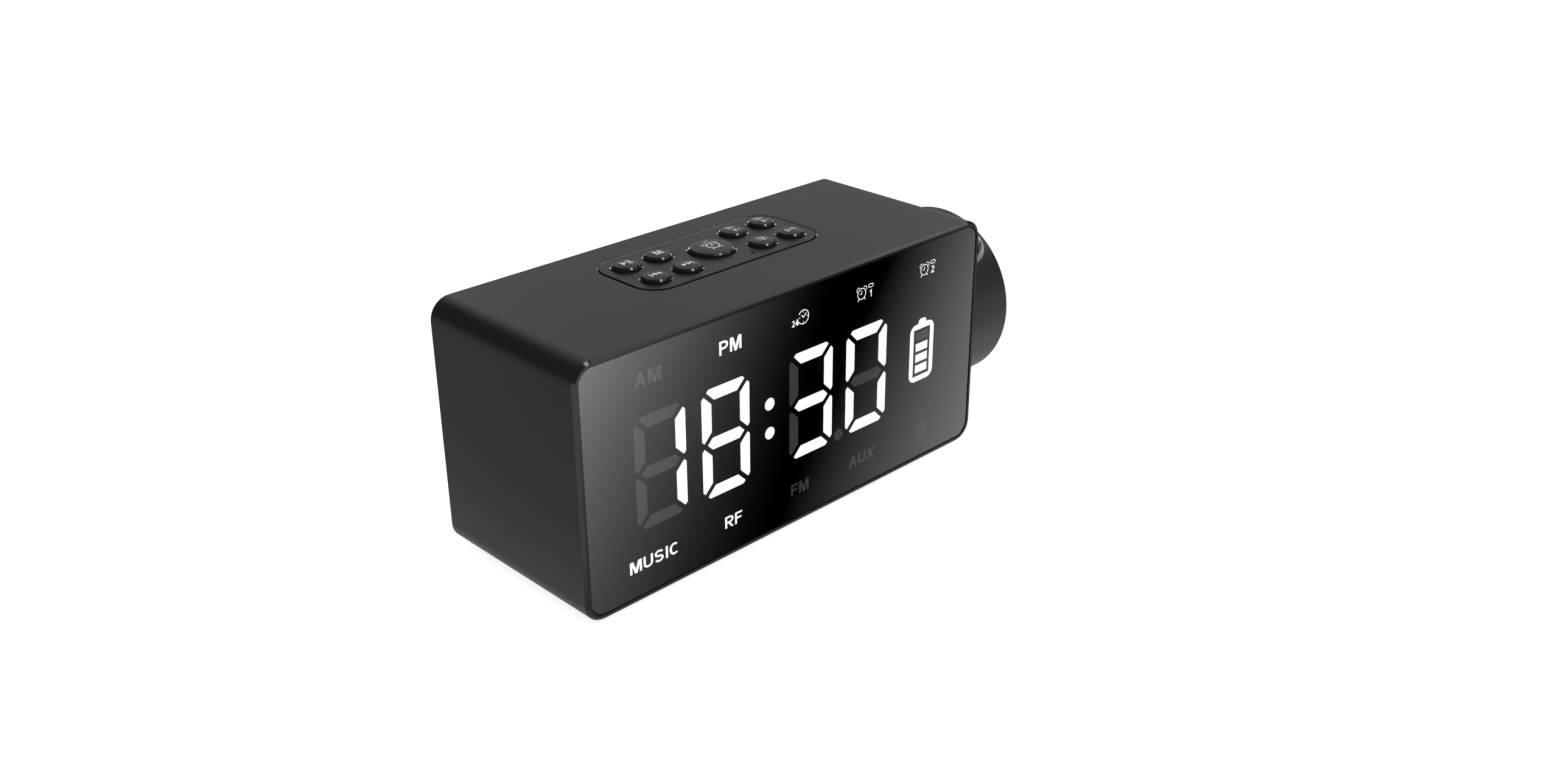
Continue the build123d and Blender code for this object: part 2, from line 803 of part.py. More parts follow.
# Control chip, amplifier, radio module, capacitors and the ribbon connectors
control_chip = 8.0
amplifier_chip = 6.0
chip_gap = 2.0
radio_x = -24.5
radio_width = 16.0
radio_depth = 11.0
capacitor_radius = 2.5
capacitor_height = 7.0
capacitor_pitch = 6.5
connector_depth = 3.0
connector_height = 3.0
connector_width = ribbon_width + connector_depth
display_ribbon_depth = main_board_front + connector_depth
key_ribbon_depth = main_board_middle - connector_depth
chip_x = card_x + card_width / 2 + chip_gap + control_chip / 2
control_chip_depth = main_board_front + connector_depth + control_chip / 2
amplifier_depth = control_chip_depth + control_chip / 2 + chip_gap + amplifier_chip / 2
capacitor_x = radio_x + radio_width / 2 + chip_gap + capacitor_radius
with BuildPart() as board_components:
    with BuildSketch(level_plane(main_board_top)):
        with Locations((radio_x, main_board_middle)):
            Rectangle(radio_width, radio_depth)
        with Locations((chip_x, control_chip_depth)):
            Rectangle(control_chip, control_chip)
        with Locations((chip_x, amplifier_depth)):
            Rectangle(amplifier_chip, amplifier_chip)
    extrude(amount=chip_height)
    with BuildSketch(level_plane(main_board_top)):
        with Locations((capacitor_x, main_board_middle)):
            with GridLocations(capacitor_pitch, capacitor_pitch, 1, 2):
                Circle(capacitor_radius)
    extrude(amount=capacitor_height)
    with BuildSketch(level_plane(main_board_top)):
        with Locations((ribbon_x, display_ribbon_depth), (0, key_ribbon_depth)):
            Rectangle(connector_width, connector_depth)
    extrude(amount=connector_height)
    with BuildSketch(level_plane(key_board_bottom)):
        with Locations((0, key_ribbon_depth)):
            Rectangle(connector_width, connector_depth)
    extrude(amount=-connector_height)
    with BuildSketch(depth_plane(display_board_back, ribbon_x)):
        Rectangle(connector_width, connector_depth)
    extrude(amount=-connector_height)
finish(board_components, "board_components")

with BuildPart() as usb_socket:
    with BuildSketch(depth_plane(cover_back, usb_x, usb_rise)):
        SlotOverall(usb_width, usb_height)
    extrude(amount=usb_length)
    with BuildSketch(depth_plane(cover_back, usb_x, usb_rise)):
        SlotOverall(usb_width - 2 * usb_shell, usb_height - 2 * usb_shell)
        Rectangle(usb_tongue_width, usb_tongue_height, mode=Mode.SUBTRACT)
    extrude(amount=usb_length - usb_shell, mode=Mode.SUBTRACT)
finish(usb_socket, "usb_socket")

with BuildPart() as audio_socket:
    with BuildSketch(depth_plane(main_board_back, audio_x, audio_rise)):
        Rectangle(audio_width, audio_height)
    extrude(amount=audio_length)
    with BuildSketch(depth_plane(cover_back, audio_x, audio_rise)):
        Circle(audio_nose_radius)
    extrude(amount=cover_back - main_board_back)
    with BuildSketch(depth_plane(cover_back, audio_x, audio_rise)):
        Circle(audio_bore_radius)
    extrude(amount=audio_bore_length, mode=Mode.SUBTRACT)
finish(audio_socket, "audio_socket")

with BuildPart() as card_slot:
    with BuildSketch(depth_plane(cover_front, card_x, card_rise)):
        Rectangle(card_width, card_height)
    extrude(amount=card_length)
    with BuildSketch(depth_plane(cover_front, card_x, card_rise)):
        Rectangle(card_slot_width, card_slot_height)
    extrude(amount=card_length - card_end, mode=Mode.SUBTRACT)
finish(card_slot, "card_slot")

with BuildPart() as battery_holder:
    with BuildSketch(level_plane(wall, cell_x, cell_depth)):
        Rectangle(cradle_length, cradle_depth)
    extrude(amount=cradle_height)
    cell_start = cell_x - cell_length / 2 - cell_cap_height
    cell_bay = Plane(
        origin=(body_x + cell_start, front_y + cell_depth, base_z + cell_height),
        x_dir=(0, 1, 0),
        z_dir=(1, 0, 0),
    )
    with BuildSketch(cell_bay):
        Circle(cell_radius + seat_gap)
        with Locations((0, cell_radius)):
            Rectangle(2 * (cell_radius + seat_gap), 2 * cell_radius)
    extrude(amount=cell_length + 2 * cell_cap_height, mode=Mode.SUBTRACT)
finish(battery_holder, "battery_holder")

with BuildPart() as battery_cell:
    with BuildSketch(cell_bay.offset(cell_cap_height)):
        Circle(cell_radius)
    extrude(amount=cell_length)
    fillet(battery_cell.edges().filter_by(GeomType.CIRCLE), cell_cap_height / 2)
    with BuildSketch(cell_bay.offset(cell_cap_height + cell_length)):
        Circle(cell_cap_radius)
    extrude(amount=cell_cap_height)
finish(battery_cell, "battery_cell")

# Rear cover with its ports and grilles, and the two loudspeakers clamped to it
grille_rows = int((2 * grille_radius - grille_slot) / grille_pitch)
clamp_offset = clamp_circle / sqrt(2)
clamp_places = [(side * clamp_offset, rise * clamp_offset) for side in (-1, 1) for rise in (-1, 1)]
with BuildPart() as rear_cover:
    with BuildSketch(depth_plane(cover_front)):
        RectangleRounded(
            cavity_width - 2 * cover_gap,
            cavity_height - 2 * cover_gap,
            cavity_corner - cover_gap,
        )
    extrude(amount=-cover_thickness)
    for side in (-1, 1):
        with BuildSketch(depth_plane(cover_front, side * speaker_x, speaker_rise)):
            for row in range(grille_rows + 1):
                rise = (row - grille_rows / 2) * grille_pitch
                slot_length = 2 * sqrt(grille_radius**2 - rise**2)
                with Locations((0, rise)):
                    SlotOverall(slot_length, grille_slot)
        extrude(amount=-cover_thickness, mode=Mode.SUBTRACT)
        with BuildSketch(depth_plane(cover_front, side * speaker_x, speaker_rise)):
            with Locations(*clamp_places):
                Circle(clamp_radius)
        extrude(amount=speaker_flange)
        with BuildSketch(depth_plane(cover_front - speaker_flange, side * speaker_x, speaker_rise)):
            with Locations(*clamp_places):
                Circle(pilot_radius)
        extrude(amount=-speaker_flange - cover_thickness / 2, mode=Mode.SUBTRACT)
    with BuildSketch(depth_plane(cover_back)):
        with Locations((usb_x, usb_rise)):
            SlotOverall(usb_width + 2 * port_clearance, usb_height + 2 * port_clearance)
        with Locations((audio_x, audio_rise)):
            Circle(audio_nose_radius + port_clearance)
        with Locations((card_x, card_rise)):
            Rectangle(card_slot_width + 2 * port_clearance, card_slot_height + 2 * port_clearance)
    extrude(amount=cover_thickness, mode=Mode.SUBTRACT)
    with BuildSketch(depth_plane(cover_back)):
        with GridLocations(2 * block_x, 2 * block_z, 2, 2):
            Circle(cover_screw_hole)
    extrude(amount=cover_thickness, mode=Mode.SUBTRACT)
    with BuildSketch(depth_plane(cover_back)):
        with GridLocations(2 * block_x, 2 * block_z, 2, 2):
            Circle(cover_head_radius + cover_head_gap)
    extrude(amount=cover_head_height, mode=Mode.SUBTRACT)
finish(rear_cover, "rear_cover")

with BuildPart() as rear_cover_screws:
    for side in (-1, 1):
        for rise in (-1, 1):
            seat = depth_plane(cover_back - cover_head_height, side * block_x, rise * block_z)
            outward = Plane(origin=seat.origin, x_dir=seat.x_dir, z_dir=-seat.z_dir)
            add_pan_screw(
                outward,
                cover_head_radius,
                cover_head_height,
                cover_pilot_radius,
                cover_screw_length,
            )
finish(rear_cover_screws, "rear_cover_screws")

frame_profile = [
    (cone_radius, 0),
    (speaker_radius, 0),
    (speaker_radius, speaker_flange),
    (cone_radius + basket_sheet, speaker_flange),
    (basket_radius + basket_sheet, basket_depth - basket_sheet),
    (basket_radius + basket_sheet, basket_depth),
    (coil_radius + basket_sheet, basket_depth),
    (coil_radius + basket_sheet, basket_depth - basket_sheet),
    (basket_radius, basket_depth - basket_sheet),
    (cone_radius, speaker_flange),
]
cone_depth = basket_depth - 4 * basket_sheet
cone_edge = cone_radius - surround_width
cone_profile = [
    (0, cone_depth - surround_width),
    (coil_radius - paper, cone_depth - paper),
    (cone_edge, speaker_flange - paper),
    (cone_edge + surround_width / 2, paper),
    (cone_radius, speaker_flange - paper),
    (cone_radius, speaker_flange),
    (cone_edge + surround_width / 2, 3 * paper),
    (cone_edge, speaker_flange + paper),
    (coil_radius, cone_depth),
    (coil_radius, basket_depth),
    (coil_radius - paper, basket_depth),
    (coil_radius - paper, cone_depth),
    (0, cone_depth - surround_width + paper),
]
magnet_profile = [
    (0, 0),
    (coil_radius - 2 * paper, 0),
    (coil_radius - 2 * paper, magnet_thickness / 2),
    (coil_radius + 2 * paper, magnet_thickness / 2),
    (coil_radius + 2 * paper, 0),
    (basket_radius, 0),
    (basket_radius, basket_sheet),
    (magnet_radius, basket_sheet),
    (magnet_radius, magnet_thickness),
    (0, magnet_thickness),
]


def revolve_behind(profile, start):
    # A closed outline of (radius, distance from the start towards the front), once per loudspeaker
    for side in (-1, 1):
        plane = depth_plane(start, side * speaker_x, speaker_rise)
        with BuildSketch(turning_plane(plane)) as half:
            Polygon(*profile)
        revolve(half.sketch, axis=Axis(plane.origin, plane.z_dir))


with BuildPart() as speaker_frames:
    revolve_behind(frame_profile, cover_front)
finish(speaker_frames, "speaker_frames")

with BuildPart() as speaker_cones:
    revolve_behind(cone_profile, cover_front)
finish(speaker_cones, "speaker_cones")

with BuildPart() as speaker_magnets:
    revolve_behind(magnet_profile, cover_front - basket_depth)
finish(speaker_magnets, "speaker_magnets")

with BuildPart() as speaker_screws:
    for side in (-1, 1):
        for clamp_x, clamp_z in clamp_places:
            screw_x = side * speaker_x + clamp_x
            add_pan_screw(
                depth_plane(cover_front - speaker_flange, screw_x, speaker_rise + clamp_z),
                clamp_radius + clamp_overlap,
                screw_head_height,
                pilot_radius,
                speaker_flange + cover_thickness / 2,
            )
finish(speaker_screws, "speaker_screws")

# Identical self-tapping screws: display board, key board, main board
with BuildPart() as board_screws:
    for side in (-1, 1):
        for rise in (-1, 1):
            seat = depth_plane(display_board_back, side * display_boss_x, rise * display_boss_z)
            outward = Plane(origin=seat.origin, x_dir=seat.x_dir, z_dir=-seat.z_dir)
            add_pan_screw(outward, screw_head_radius, screw_head_height, pilot_radius, screw_length)
    for post_x, post_y in key_board_posts():
        seat = level_plane(key_board_bottom, post_x, key_board_middle + post_y)
        downward = Plane(origin=seat.origin, x_dir=seat.x_dir, z_dir=-seat.z_dir)
        add_pan_screw(downward, screw_head_radius, screw_head_height, pilot_radius, screw_length)
    for side in (-1, 1):
        for back in (-1, 1):
            post_depth = main_board_middle + back * main_post_y
            seat = level_plane(main_board_top, side * main_post_x, post_depth)
            add_pan_screw(seat, screw_head_radius, screw_head_height, pilot_radius, screw_length)
finish(board_screws, "board_screws")

# Ribbons and leads between the boards, the loudspeakers, the cell and the projector
display_ribbon_height = body_height / 2
with BuildPart() as ribbon_cables:
    ribbon_plane = Plane(origin=(body_x + ribbon_x, front_y, base_z), x_dir=(0, 1, 0), z_dir=(1, 0, 0))
    with BuildSketch(ribbon_plane):
        with BuildLine() as display_ribbon:
            FilletPolyline(
                (display_ribbon_depth, main_board_top + connector_height),
                (display_ribbon_depth, display_ribbon_height),
                (display_board_back + connector_height, display_ribbon_height),
                radius=ribbon_bend,
            )
        trace(display_ribbon.edges(), line_width=ribbon_thickness)
    extrude(amount=ribbon_width / 2, both=True)
    key_ribbon_plane = Plane(origin=(body_x, front_y, base_z), x_dir=(0, 1, 0), z_dir=(1, 0, 0))
    with BuildSketch(key_ribbon_plane):
        with BuildLine() as key_ribbon:
            FilletPolyline(
                (key_ribbon_depth, main_board_top + connector_height),
                (key_ribbon_depth, display_ribbon_height - 2 * ribbon_bend),
                (key_ribbon_depth + ribbon_bend, display_ribbon_height),
                (key_ribbon_depth, display_ribbon_height + 2 * ribbon_bend),
                (key_ribbon_depth, key_board_bottom - connector_height),
                radius=ribbon_bend,
            )
        trace(key_ribbon.edges(), line_width=ribbon_thickness)
    extrude(amount=ribbon_width / 2, both=True)
finish(ribbon_cables, "ribbon_cables")


def lead_point(x, depth, height):
    return (body_x + x, front_y + depth, base_z + height)


def add_lead(points):
    # A round lead along straight runs joined by arcs
    with BuildLine() as route:
        FilletPolyline(*points, radius=lead_bend)
    with BuildSketch(Plane(origin=route.line @ 0, z_dir=route.line % 0)) as section:
        Circle(lead_radius)
    sweep(section.sketch, path=route.line)


axis_height = body_height / 2
speaker_bottom = speaker_height - speaker_radius
lead_height = main_board_top + 3 * lead_bend
lead_depth = main_board_back - 3 * main_post_inset
solder_inset = main_board_width / 2 - 2 * main_post_inset
cradle_end = cell_x - cradle_length / 2
with BuildPart() as wire_leads:
    for side in (-1, 1):
        lug = cover_front - speaker_flange / 2
        add_lead(
            [
                lead_point(side * speaker_x, lug, speaker_bottom),
                lead_point(side * speaker_x, lug, lead_height),
                lead_point(side * solder_inset, lug, lead_height),
                lead_point(side * solder_inset, lead_depth, lead_height),
                lead_point(side * solder_inset, lead_depth, main_board_top),
            ]
        )
    add_lead(
        [
            lead_point(cradle_end, cell_depth, cell_height),
            lead_point(cradle_end - 3 * lead_bend, cell_depth, cell_height),
            lead_point(cradle_end - 3 * lead_bend, main_board_middle, cell_height),
            lead_point(cradle_end - 3 * lead_bend, main_board_middle, main_board_top),
        ]
    )
    add_lead(
        [
            lead_point(axis_lead_end - washer_gap, axis_depth, axis_height),
            lead_point(axis_lead_end - washer_gap - 3 * lead_bend, axis_depth, axis_height),
            lead_point(axis_lead_end - washer_gap - 3 * lead_bend, axis_depth, lead_height),
            lead_point(solder_inset, axis_depth, lead_height),
            lead_point(solder_inset, main_board_middle - main_post_inset, lead_height),
            lead_point(solder_inset, main_board_middle - main_post_inset, main_board_top),
        ]
    )
finish(wire_leads, "wire_leads")

# Projector: a drum closed by a base, whose hollow hub turns in the side wall
with BuildPart() as projector_drum:
    with BuildSketch(side_plane(drum_inner_x)):
        Circle(drum_radius)
    extrude(amount=drum_thickness)
    fillet(projector_drum.faces().sort_by(Axis.X)[-1].edges(), drum_edge)
    with BuildSketch(side_plane(drum_inner_x)):
        Circle(drum_radius - drum_wall)
    extrude(amount=drum_cavity, mode=Mode.SUBTRACT)
    with BuildSketch(side_plane(drum_inner_x + base_thickness)):
        with PolarLocations(drum_post_distance, drum_posts, start_angle=-lens_elevation):
            Circle(drum_post_radius)
    extrude(amount=drum_cavity - base_thickness)
    with BuildSketch(side_plane(drum_inner_x + base_thickness)):
        with PolarLocations(drum_post_distance, drum_posts, start_angle=-lens_elevation):
            Circle(flat_screw_radius)
    extrude(amount=flat_screw_length, mode=Mode.SUBTRACT)
    with BuildSketch(lens_plane(bezel_seat)):
        Circle(bezel_radius)
    extrude(amount=2 * bezel_depth, mode=Mode.SUBTRACT)
finish(projector_drum, "projector_drum")


def flat_screw_places(face_x, circle, first_angle):
    # Planes that face the housing, evenly spaced on a circle about the drum's axis
    face = side_plane(face_x)
    turns = [radians(first_angle + step * 360 / drum_posts) for step in range(drum_posts)]
    spots = [face.from_local_coords((circle * cos(turn), circle * sin(turn), 0)) for turn in turns]
    return [Plane(origin=spot, x_dir=(0, 1, 0), z_dir=(-1, 0, 0)) for spot in spots]


base_screw_places = flat_screw_places(drum_inner_x, drum_post_distance, -lens_elevation)
retainer_screw_places = flat_screw_places(hub_end - retainer_thickness, retainer_screw_distance, 0)

with BuildPart() as projector_base:
    with BuildSketch(side_plane(drum_inner_x)):
        Circle(drum_radius - drum_wall - base_gap)
    extrude(amount=base_thickness)
    with BuildSketch(side_plane(drum_inner_x)):
        Circle(hub_radius)
    extrude(amount=hub_end - drum_inner_x)
    with BuildSketch(side_plane(hub_end)):
        Circle(hub_bore)
    extrude(amount=drum_inner_x + base_thickness - hub_end, mode=Mode.SUBTRACT)
    for place in base_screw_places:
        cut_flat_screw_hole(place, base_thickness)
    with BuildSketch(side_plane(hub_end)):
        with PolarLocations(retainer_screw_distance, drum_posts):
            Circle(flat_screw_radius)
    extrude(amount=flat_screw_length - retainer_thickness, mode=Mode.SUBTRACT)
finish(projector_base, "projector_base")

with BuildPart() as hub_retainer:
    with BuildSketch(side_plane(hub_end - retainer_thickness)):
        Circle(retainer_radius)
        Circle(hub_bore, mode=Mode.SUBTRACT)
    extrude(amount=retainer_thickness)
    for place in retainer_screw_places:
        cut_flat_screw_hole(place, retainer_thickness)
finish(hub_retainer, "hub_retainer")

with BuildPart() as wave_washer:
    with BuildSketch(side_plane(hub_end)):
        Circle(hub_boss_radius)
        Circle(hub_radius + base_gap, mode=Mode.SUBTRACT)
    extrude(amount=washer_thickness)
finish(wave_washer, "wave_washer")

with BuildPart() as projector_screws:
    for place in base_screw_places + retainer_screw_places:
        add_flat_screw(place)
finish(projector_screws, "projector_screws")

seat_plane = lens_plane(bezel_seat)
with BuildPart() as lens_bezel:
    with BuildSketch(turning_plane(seat_plane)):
        with BuildLine():
            # A cone opens towards the drum's surface, which trims a narrow land around it
            Polyline(
                (bezel_throat, 0),
                (bezel_radius, 0),
                (bezel_radius, 2 * bezel_depth),
                (bezel_radius - bezel_land, 2 * bezel_depth),
                (bezel_radius - bezel_land, bezel_depth),
                (bezel_throat, bezel_depth - bezel_slope),
                close=True,
            )
        make_face()
    revolve(axis=Axis(seat_plane.origin, seat_plane.z_dir))
    with BuildSketch(side_plane(drum_inner_x)):
        Circle(drum_radius)
    extrude(amount=drum_thickness, mode=Mode.INTERSECT)
finish(lens_bezel, "lens_bezel")

with BuildPart() as lens_barrel:
    with BuildSketch(lens_plane(barrel_end)):
        Circle(barrel_radius)
        Circle(barrel_bore, mode=Mode.SUBTRACT)
    extrude(amount=bezel_seat - barrel_end)
finish(lens_barrel, "lens_barrel")

lens_plane_back = lens_plane(lens_back)
lens_top = lens_thickness + lens_crown
lens_curve = (barrel_bore**2 + lens_crown**2) / (2 * lens_crown)
lens_mid = lens_top - lens_curve + sqrt(lens_curve**2 - (barrel_bore / 2) ** 2)
with BuildPart() as projector_lens:
    with BuildSketch(turning_plane(lens_plane_back)):
        with BuildLine():
            Polyline((0, lens_top), (0, 0), (barrel_bore, 0), (barrel_bore, lens_thickness))
            ThreePointArc((barrel_bore, lens_thickness), (barrel_bore / 2, lens_mid), (0, lens_top))
        make_face()
    revolve(axis=Axis(lens_plane_back.origin, lens_plane_back.z_dir))
finish(projector_lens, "projector_lens")

with BuildPart() as image_panel:
    with BuildSketch(lens_plane(panel_place)):
        Circle(barrel_bore)
    extrude(amount=panel_thickness)
finish(image_panel, "image_panel")

with BuildPart() as condenser_lens:
    with BuildSketch(lens_plane(condenser_place)):
        Circle(barrel_bore)
    extrude(amount=condenser_thickness)
    fillet(condenser_lens.faces().filter_by(GeomType.PLANE).edges(), condenser_thickness / 3)
finish(condenser_lens, "condenser_lens")

with BuildPart() as projector_board:
    with BuildSketch(lens_plane(barrel_end)):
        Circle(barrel_radius)
    extrude(amount=-light_board_thickness)
finish(projector_board, "projector_board")

with BuildPart() as projector_led:
    with BuildSketch(lens_plane(barrel_end)):
        Circle(light_radius)
    extrude(amount=light_height)
finish(projector_led, "projector_led")

# The lead turns with the drum: from the light's board to the axis, then out through the hub
board_back = lens_plane(barrel_end - light_board_thickness).origin
axis_point = lens_plane(0).origin
with BuildPart() as projector_lead:
    add_lead([board_back, axis_point, lead_point(axis_lead_end, axis_depth, axis_height)])
finish(projector_lead, "projector_lead")
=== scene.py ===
from math import cos, pi, radians, sin

import bmesh
import bpy
from mathutils import Matrix, Vector


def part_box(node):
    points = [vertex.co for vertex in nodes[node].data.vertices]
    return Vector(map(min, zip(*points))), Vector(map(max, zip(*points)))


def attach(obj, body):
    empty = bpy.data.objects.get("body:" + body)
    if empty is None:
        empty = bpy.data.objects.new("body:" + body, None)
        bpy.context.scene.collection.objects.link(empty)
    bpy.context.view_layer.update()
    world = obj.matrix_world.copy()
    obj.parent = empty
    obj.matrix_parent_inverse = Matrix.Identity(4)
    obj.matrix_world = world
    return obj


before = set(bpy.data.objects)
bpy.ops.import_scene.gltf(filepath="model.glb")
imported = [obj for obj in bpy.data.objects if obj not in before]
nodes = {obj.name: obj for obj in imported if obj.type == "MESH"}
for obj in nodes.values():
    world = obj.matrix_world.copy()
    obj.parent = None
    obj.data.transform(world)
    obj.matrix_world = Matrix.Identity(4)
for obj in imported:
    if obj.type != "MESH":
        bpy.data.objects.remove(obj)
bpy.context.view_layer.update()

scene = bpy.context.scene
mm = 0.001
housingLow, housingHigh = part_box("housing")
housingMiddle = (housingLow + housingHigh) / 2


def linear(hexColour):  # an sRGB hex colour as the linear values that a shader takes
    channels = [int(hexColour[i : i + 2], 16) / 255 for i in (1, 3, 5)]
    return [c / 12.92 if c <= 0.04045 else ((c + 0.055) / 1.055) ** 2.4 for c in channels] + [1.0]


# A socket is linked, any other value is set. A Mix node's numbered inputs are 0 for the share,
# 2 and 3 for its two values, and 6 and 7 for its two colours.
def addNode(tree, kind, settings=None, inputs=None):
    node = tree.nodes.new(kind)
    for name, value in (settings or {}).items():
        setattr(node, name, value)
    for name, value in (inputs or {}).items():
        if isinstance(value, bpy.types.NodeSocket):
            tree.links.new(value, node.inputs[name])
        else:
            node.inputs[name].default_value = value
    return node


def startMaterial(name):  # a new material with its shader, and the coordinates of the object
    material = bpy.data.materials.new(name)
    material.use_nodes = True
    tree = material.node_tree
    tree.nodes.clear()
    shader = addNode(tree, "ShaderNodeBsdfPrincipled")
    addNode(tree, "ShaderNodeOutputMaterial", inputs={"Surface": shader.outputs["BSDF"]})
    place = addNode(tree, "ShaderNodeTexCoord").outputs["Object"]
    return material, tree, shader, place


def addPolish(tree, polish, place, gloss):
    # The tool is polished at the front rim and on the sloping edges of the keypad
    flat = addNode(tree, "ShaderNodeSeparateXYZ", inputs={"Vector": place}).outputs
    facing = addNode(tree, "ShaderNodeNewGeometry").outputs["True Normal"]
    up = addNode(tree, "ShaderNodeSeparateXYZ", inputs={"Vector": facing}).outputs["Z"]
    tests = []
    for operation, values in (
        ("COMPARE", {0: up, 1: polish["slope"], 2: polish["slopeRange"]}),
        ("COMPARE", {0: flat["X"], 1: polish["middle"], 2: polish["reach"]}),
        ("LESS_THAN", {0: flat["Y"], 1: polish["front"]}),
    ):
        test = addNode(tree, "ShaderNodeMath", {"operation": operation}, values)
        tests.append(test.outputs["Value"])
    sloping, near, front = tests
    edge = addNode(
        tree, "ShaderNodeMath", {"operation": "MULTIPLY"}, {0: sloping, 1: near}
    ).outputs["Value"]
    share = addNode(
        tree, "ShaderNodeMath", {"operation": "MAXIMUM"}, {0: edge, 1: front}
    ).outputs["Value"]
    values = {0: share, 2: gloss, 3: polish["roughness"]}
    return addNode(tree, "ShaderNodeMix", inputs=values).outputs[0]


plasticNoise = {
    "grainDetail": 2.0, "grainRoughness": 0.6,
    "driftDetail": 3.0, "driftLow": 0.3, "driftHigh": 0.7,
}


def mouldedPlastic(name, look):
    # The tool's fine spark-eroded grain breaks up the shine, and handling makes the gloss drift
    material, tree, shader, place = startMaterial(name)
    grain = addNode(
        tree,
        "ShaderNodeTexNoise",
        inputs={
            "Vector": place,
            "Scale": 1 / (look["grain"] * mm),
            "Detail": plasticNoise["grainDetail"],
            "Roughness": plasticNoise["grainRoughness"],
        },
    ).outputs["Fac"]
    drift = addNode(
        tree,
        "ShaderNodeTexNoise",
        inputs={
            "Vector": place,
            "Scale": 1 / (look["drift"] * mm),
            "Detail": plasticNoise["driftDetail"],
        },
    ).outputs["Fac"]
    gloss = addNode(
        tree,
        "ShaderNodeMapRange",
        inputs={
            "Value": drift,
            "From Min": plasticNoise["driftLow"],
            "From Max": plasticNoise["driftHigh"],
            "To Min": look["roughness"] - look["spread"],
            "To Max": look["roughness"] + look["spread"],
        },
    ).outputs["Result"]
    tone = addNode(
        tree,
        "ShaderNodeMix",
        {"data_type": "RGBA"},
        {0: drift, 6: linear(look["colour"]), 7: linear(look["colour2"])},
    ).outputs[2]
    relief = addNode(
        tree,
        "ShaderNodeBump",
        inputs={"Height": grain, "Distance": look["depth"] * mm, "Strength": 1.0},
    ).outputs["Normal"]
    if "polish" in look:
        gloss = addPolish(tree, look["polish"], place, gloss)
    tree.links.new(tone, shader.inputs["Base Color"])
    tree.links.new(gloss, shader.inputs["Roughness"])
    tree.links.new(relief, shader.inputs["Normal"])
    return material


plasticLooks = {
    # Satin ABS of the sleeve: a soft sheen without a clear reflection, but a polished front lip
    # and polished edges round the keypad
    "sleeveAbs": {
        "colour": "#1c1c1d", "colour2": "#1e1e1f", "roughness": 0.36, "spread": 0.015,
        "grain": 0.35, "depth": 0.0015, "drift": 35,
        "polish": {
            "roughness": 0.13, "front": housingLow.y + 0.9 * mm,
            "middle": housingMiddle.x, "reach": 60 * mm, "slope": 0.6, "slopeRange": 0.33,
        },
    },
    "satinAbs": {
        "colour": "#1c1c1d", "colour2": "#1e1e1f", "roughness": 0.36, "spread": 0.015,
        "grain": 0.35, "depth": 0.0015, "drift": 35,
    },
    # The drum is moulded in a finer tool and looks a little smoother
    "fineSatinAbs": {
        "colour": "#1b1b1c", "colour2": "#1d1d1e", "roughness": 0.34, "spread": 0.015,
        "grain": 0.3, "depth": 0.001, "drift": 25,
    },
    # Push buttons are polished ABS, so their shoulders carry small sharp lights
    "polishedAbs": {
        "colour": "#1c1c1e", "colour2": "#1f1f20", "roughness": 0.15, "spread": 0.02,
        "grain": 0.8, "depth": 0.0006, "drift": 6,
    },
    # Light mask: dead black styrene that swallows stray light
    "blackStyrene": {
        "colour": "#060606", "colour2": "#080808", "roughness": 0.75, "spread": 0.05,
        "grain": 0.3, "depth": 0.01, "drift": 12,
    },
    "acetal": {
        "colour": "#3a3a3c", "colour2": "#404042", "roughness": 0.35, "spread": 0.05,
        "grain": 0.3, "depth": 0.002, "drift": 4,
    },
    "blackNylon": {
        "colour": "#1a1a1b", "colour2": "#202021", "roughness": 0.5, "spread": 0.06,
        "grain": 0.25, "depth": 0.006, "drift": 5,
    },
    "mouldedEpoxy": {
        "colour": "#1c1c1e", "colour2": "#262628", "roughness": 0.6, "spread": 0.08,
        "grain": 0.12, "depth": 0.006, "drift": 3,
    },
    # Silicone feet: dull and dusty
    "siliconeRubber": {
        "colour": "#1b1b1b", "colour2": "#2a2a2a", "roughness": 0.82, "spread": 0.06,
        "grain": 0.35, "depth": 0.02, "drift": 8,
    },
    # Printed shrink sleeve over the cell's steel can
    "shrinkSleeve": {
        "colour": "#1d4f8f", "colour2": "#22589c", "roughness": 0.25, "spread": 0.05,
        "grain": 1.2, "depth": 0.01, "drift": 15,
    },
    "redPvc": {
        "colour": "#8f1d1a", "colour2": "#a32420", "roughness": 0.45, "spread": 0.06,
        "grain": 0.3, "depth": 0.004, "drift": 5,
    },
    "flatCable": {
        "colour": "#c9c8c2", "colour2": "#d8d7d2", "roughness": 0.3, "spread": 0.05,
        "grain": 0.6, "depth": 0.004, "drift": 6,
    },
    # Sintered ferrite: coarse dark grey ceramic
    "ferrite": {
        "colour": "#2b2b2e", "colour2": "#3b3b3f", "roughness": 0.62, "spread": 0.1,
        "grain": 0.3, "depth": 0.02, "drift": 3,
    },
    # Pressed paper cone, with the fibres showing
    "pressedPaper": {
        "colour": "#202021", "colour2": "#2c2c2d", "roughness": 0.9, "spread": 0.05,
        "grain": 0.35, "depth": 0.05, "drift": 2,
    },
    "ledPhosphor": {
        "colour": "#e8dfa0", "colour2": "#f2ebb8", "roughness": 0.4, "spread": 0.05,
        "grain": 0.1, "depth": 0.004, "drift": 1,
    },
    # Pad-printed white ink, a little uneven
    "whiteInk": {
        "colour": "#c9c9c9", "colour2": "#d6d6d6", "roughness": 0.4, "spread": 0.05,
        "grain": 0.2, "depth": 0.002, "drift": 1.5,
    },
}
plastics = {name: mouldedPlastic(name, look) for name, look in plasticLooks.items()}


metalMarks = {"detail": 3.0, "unevenness": 0.3}


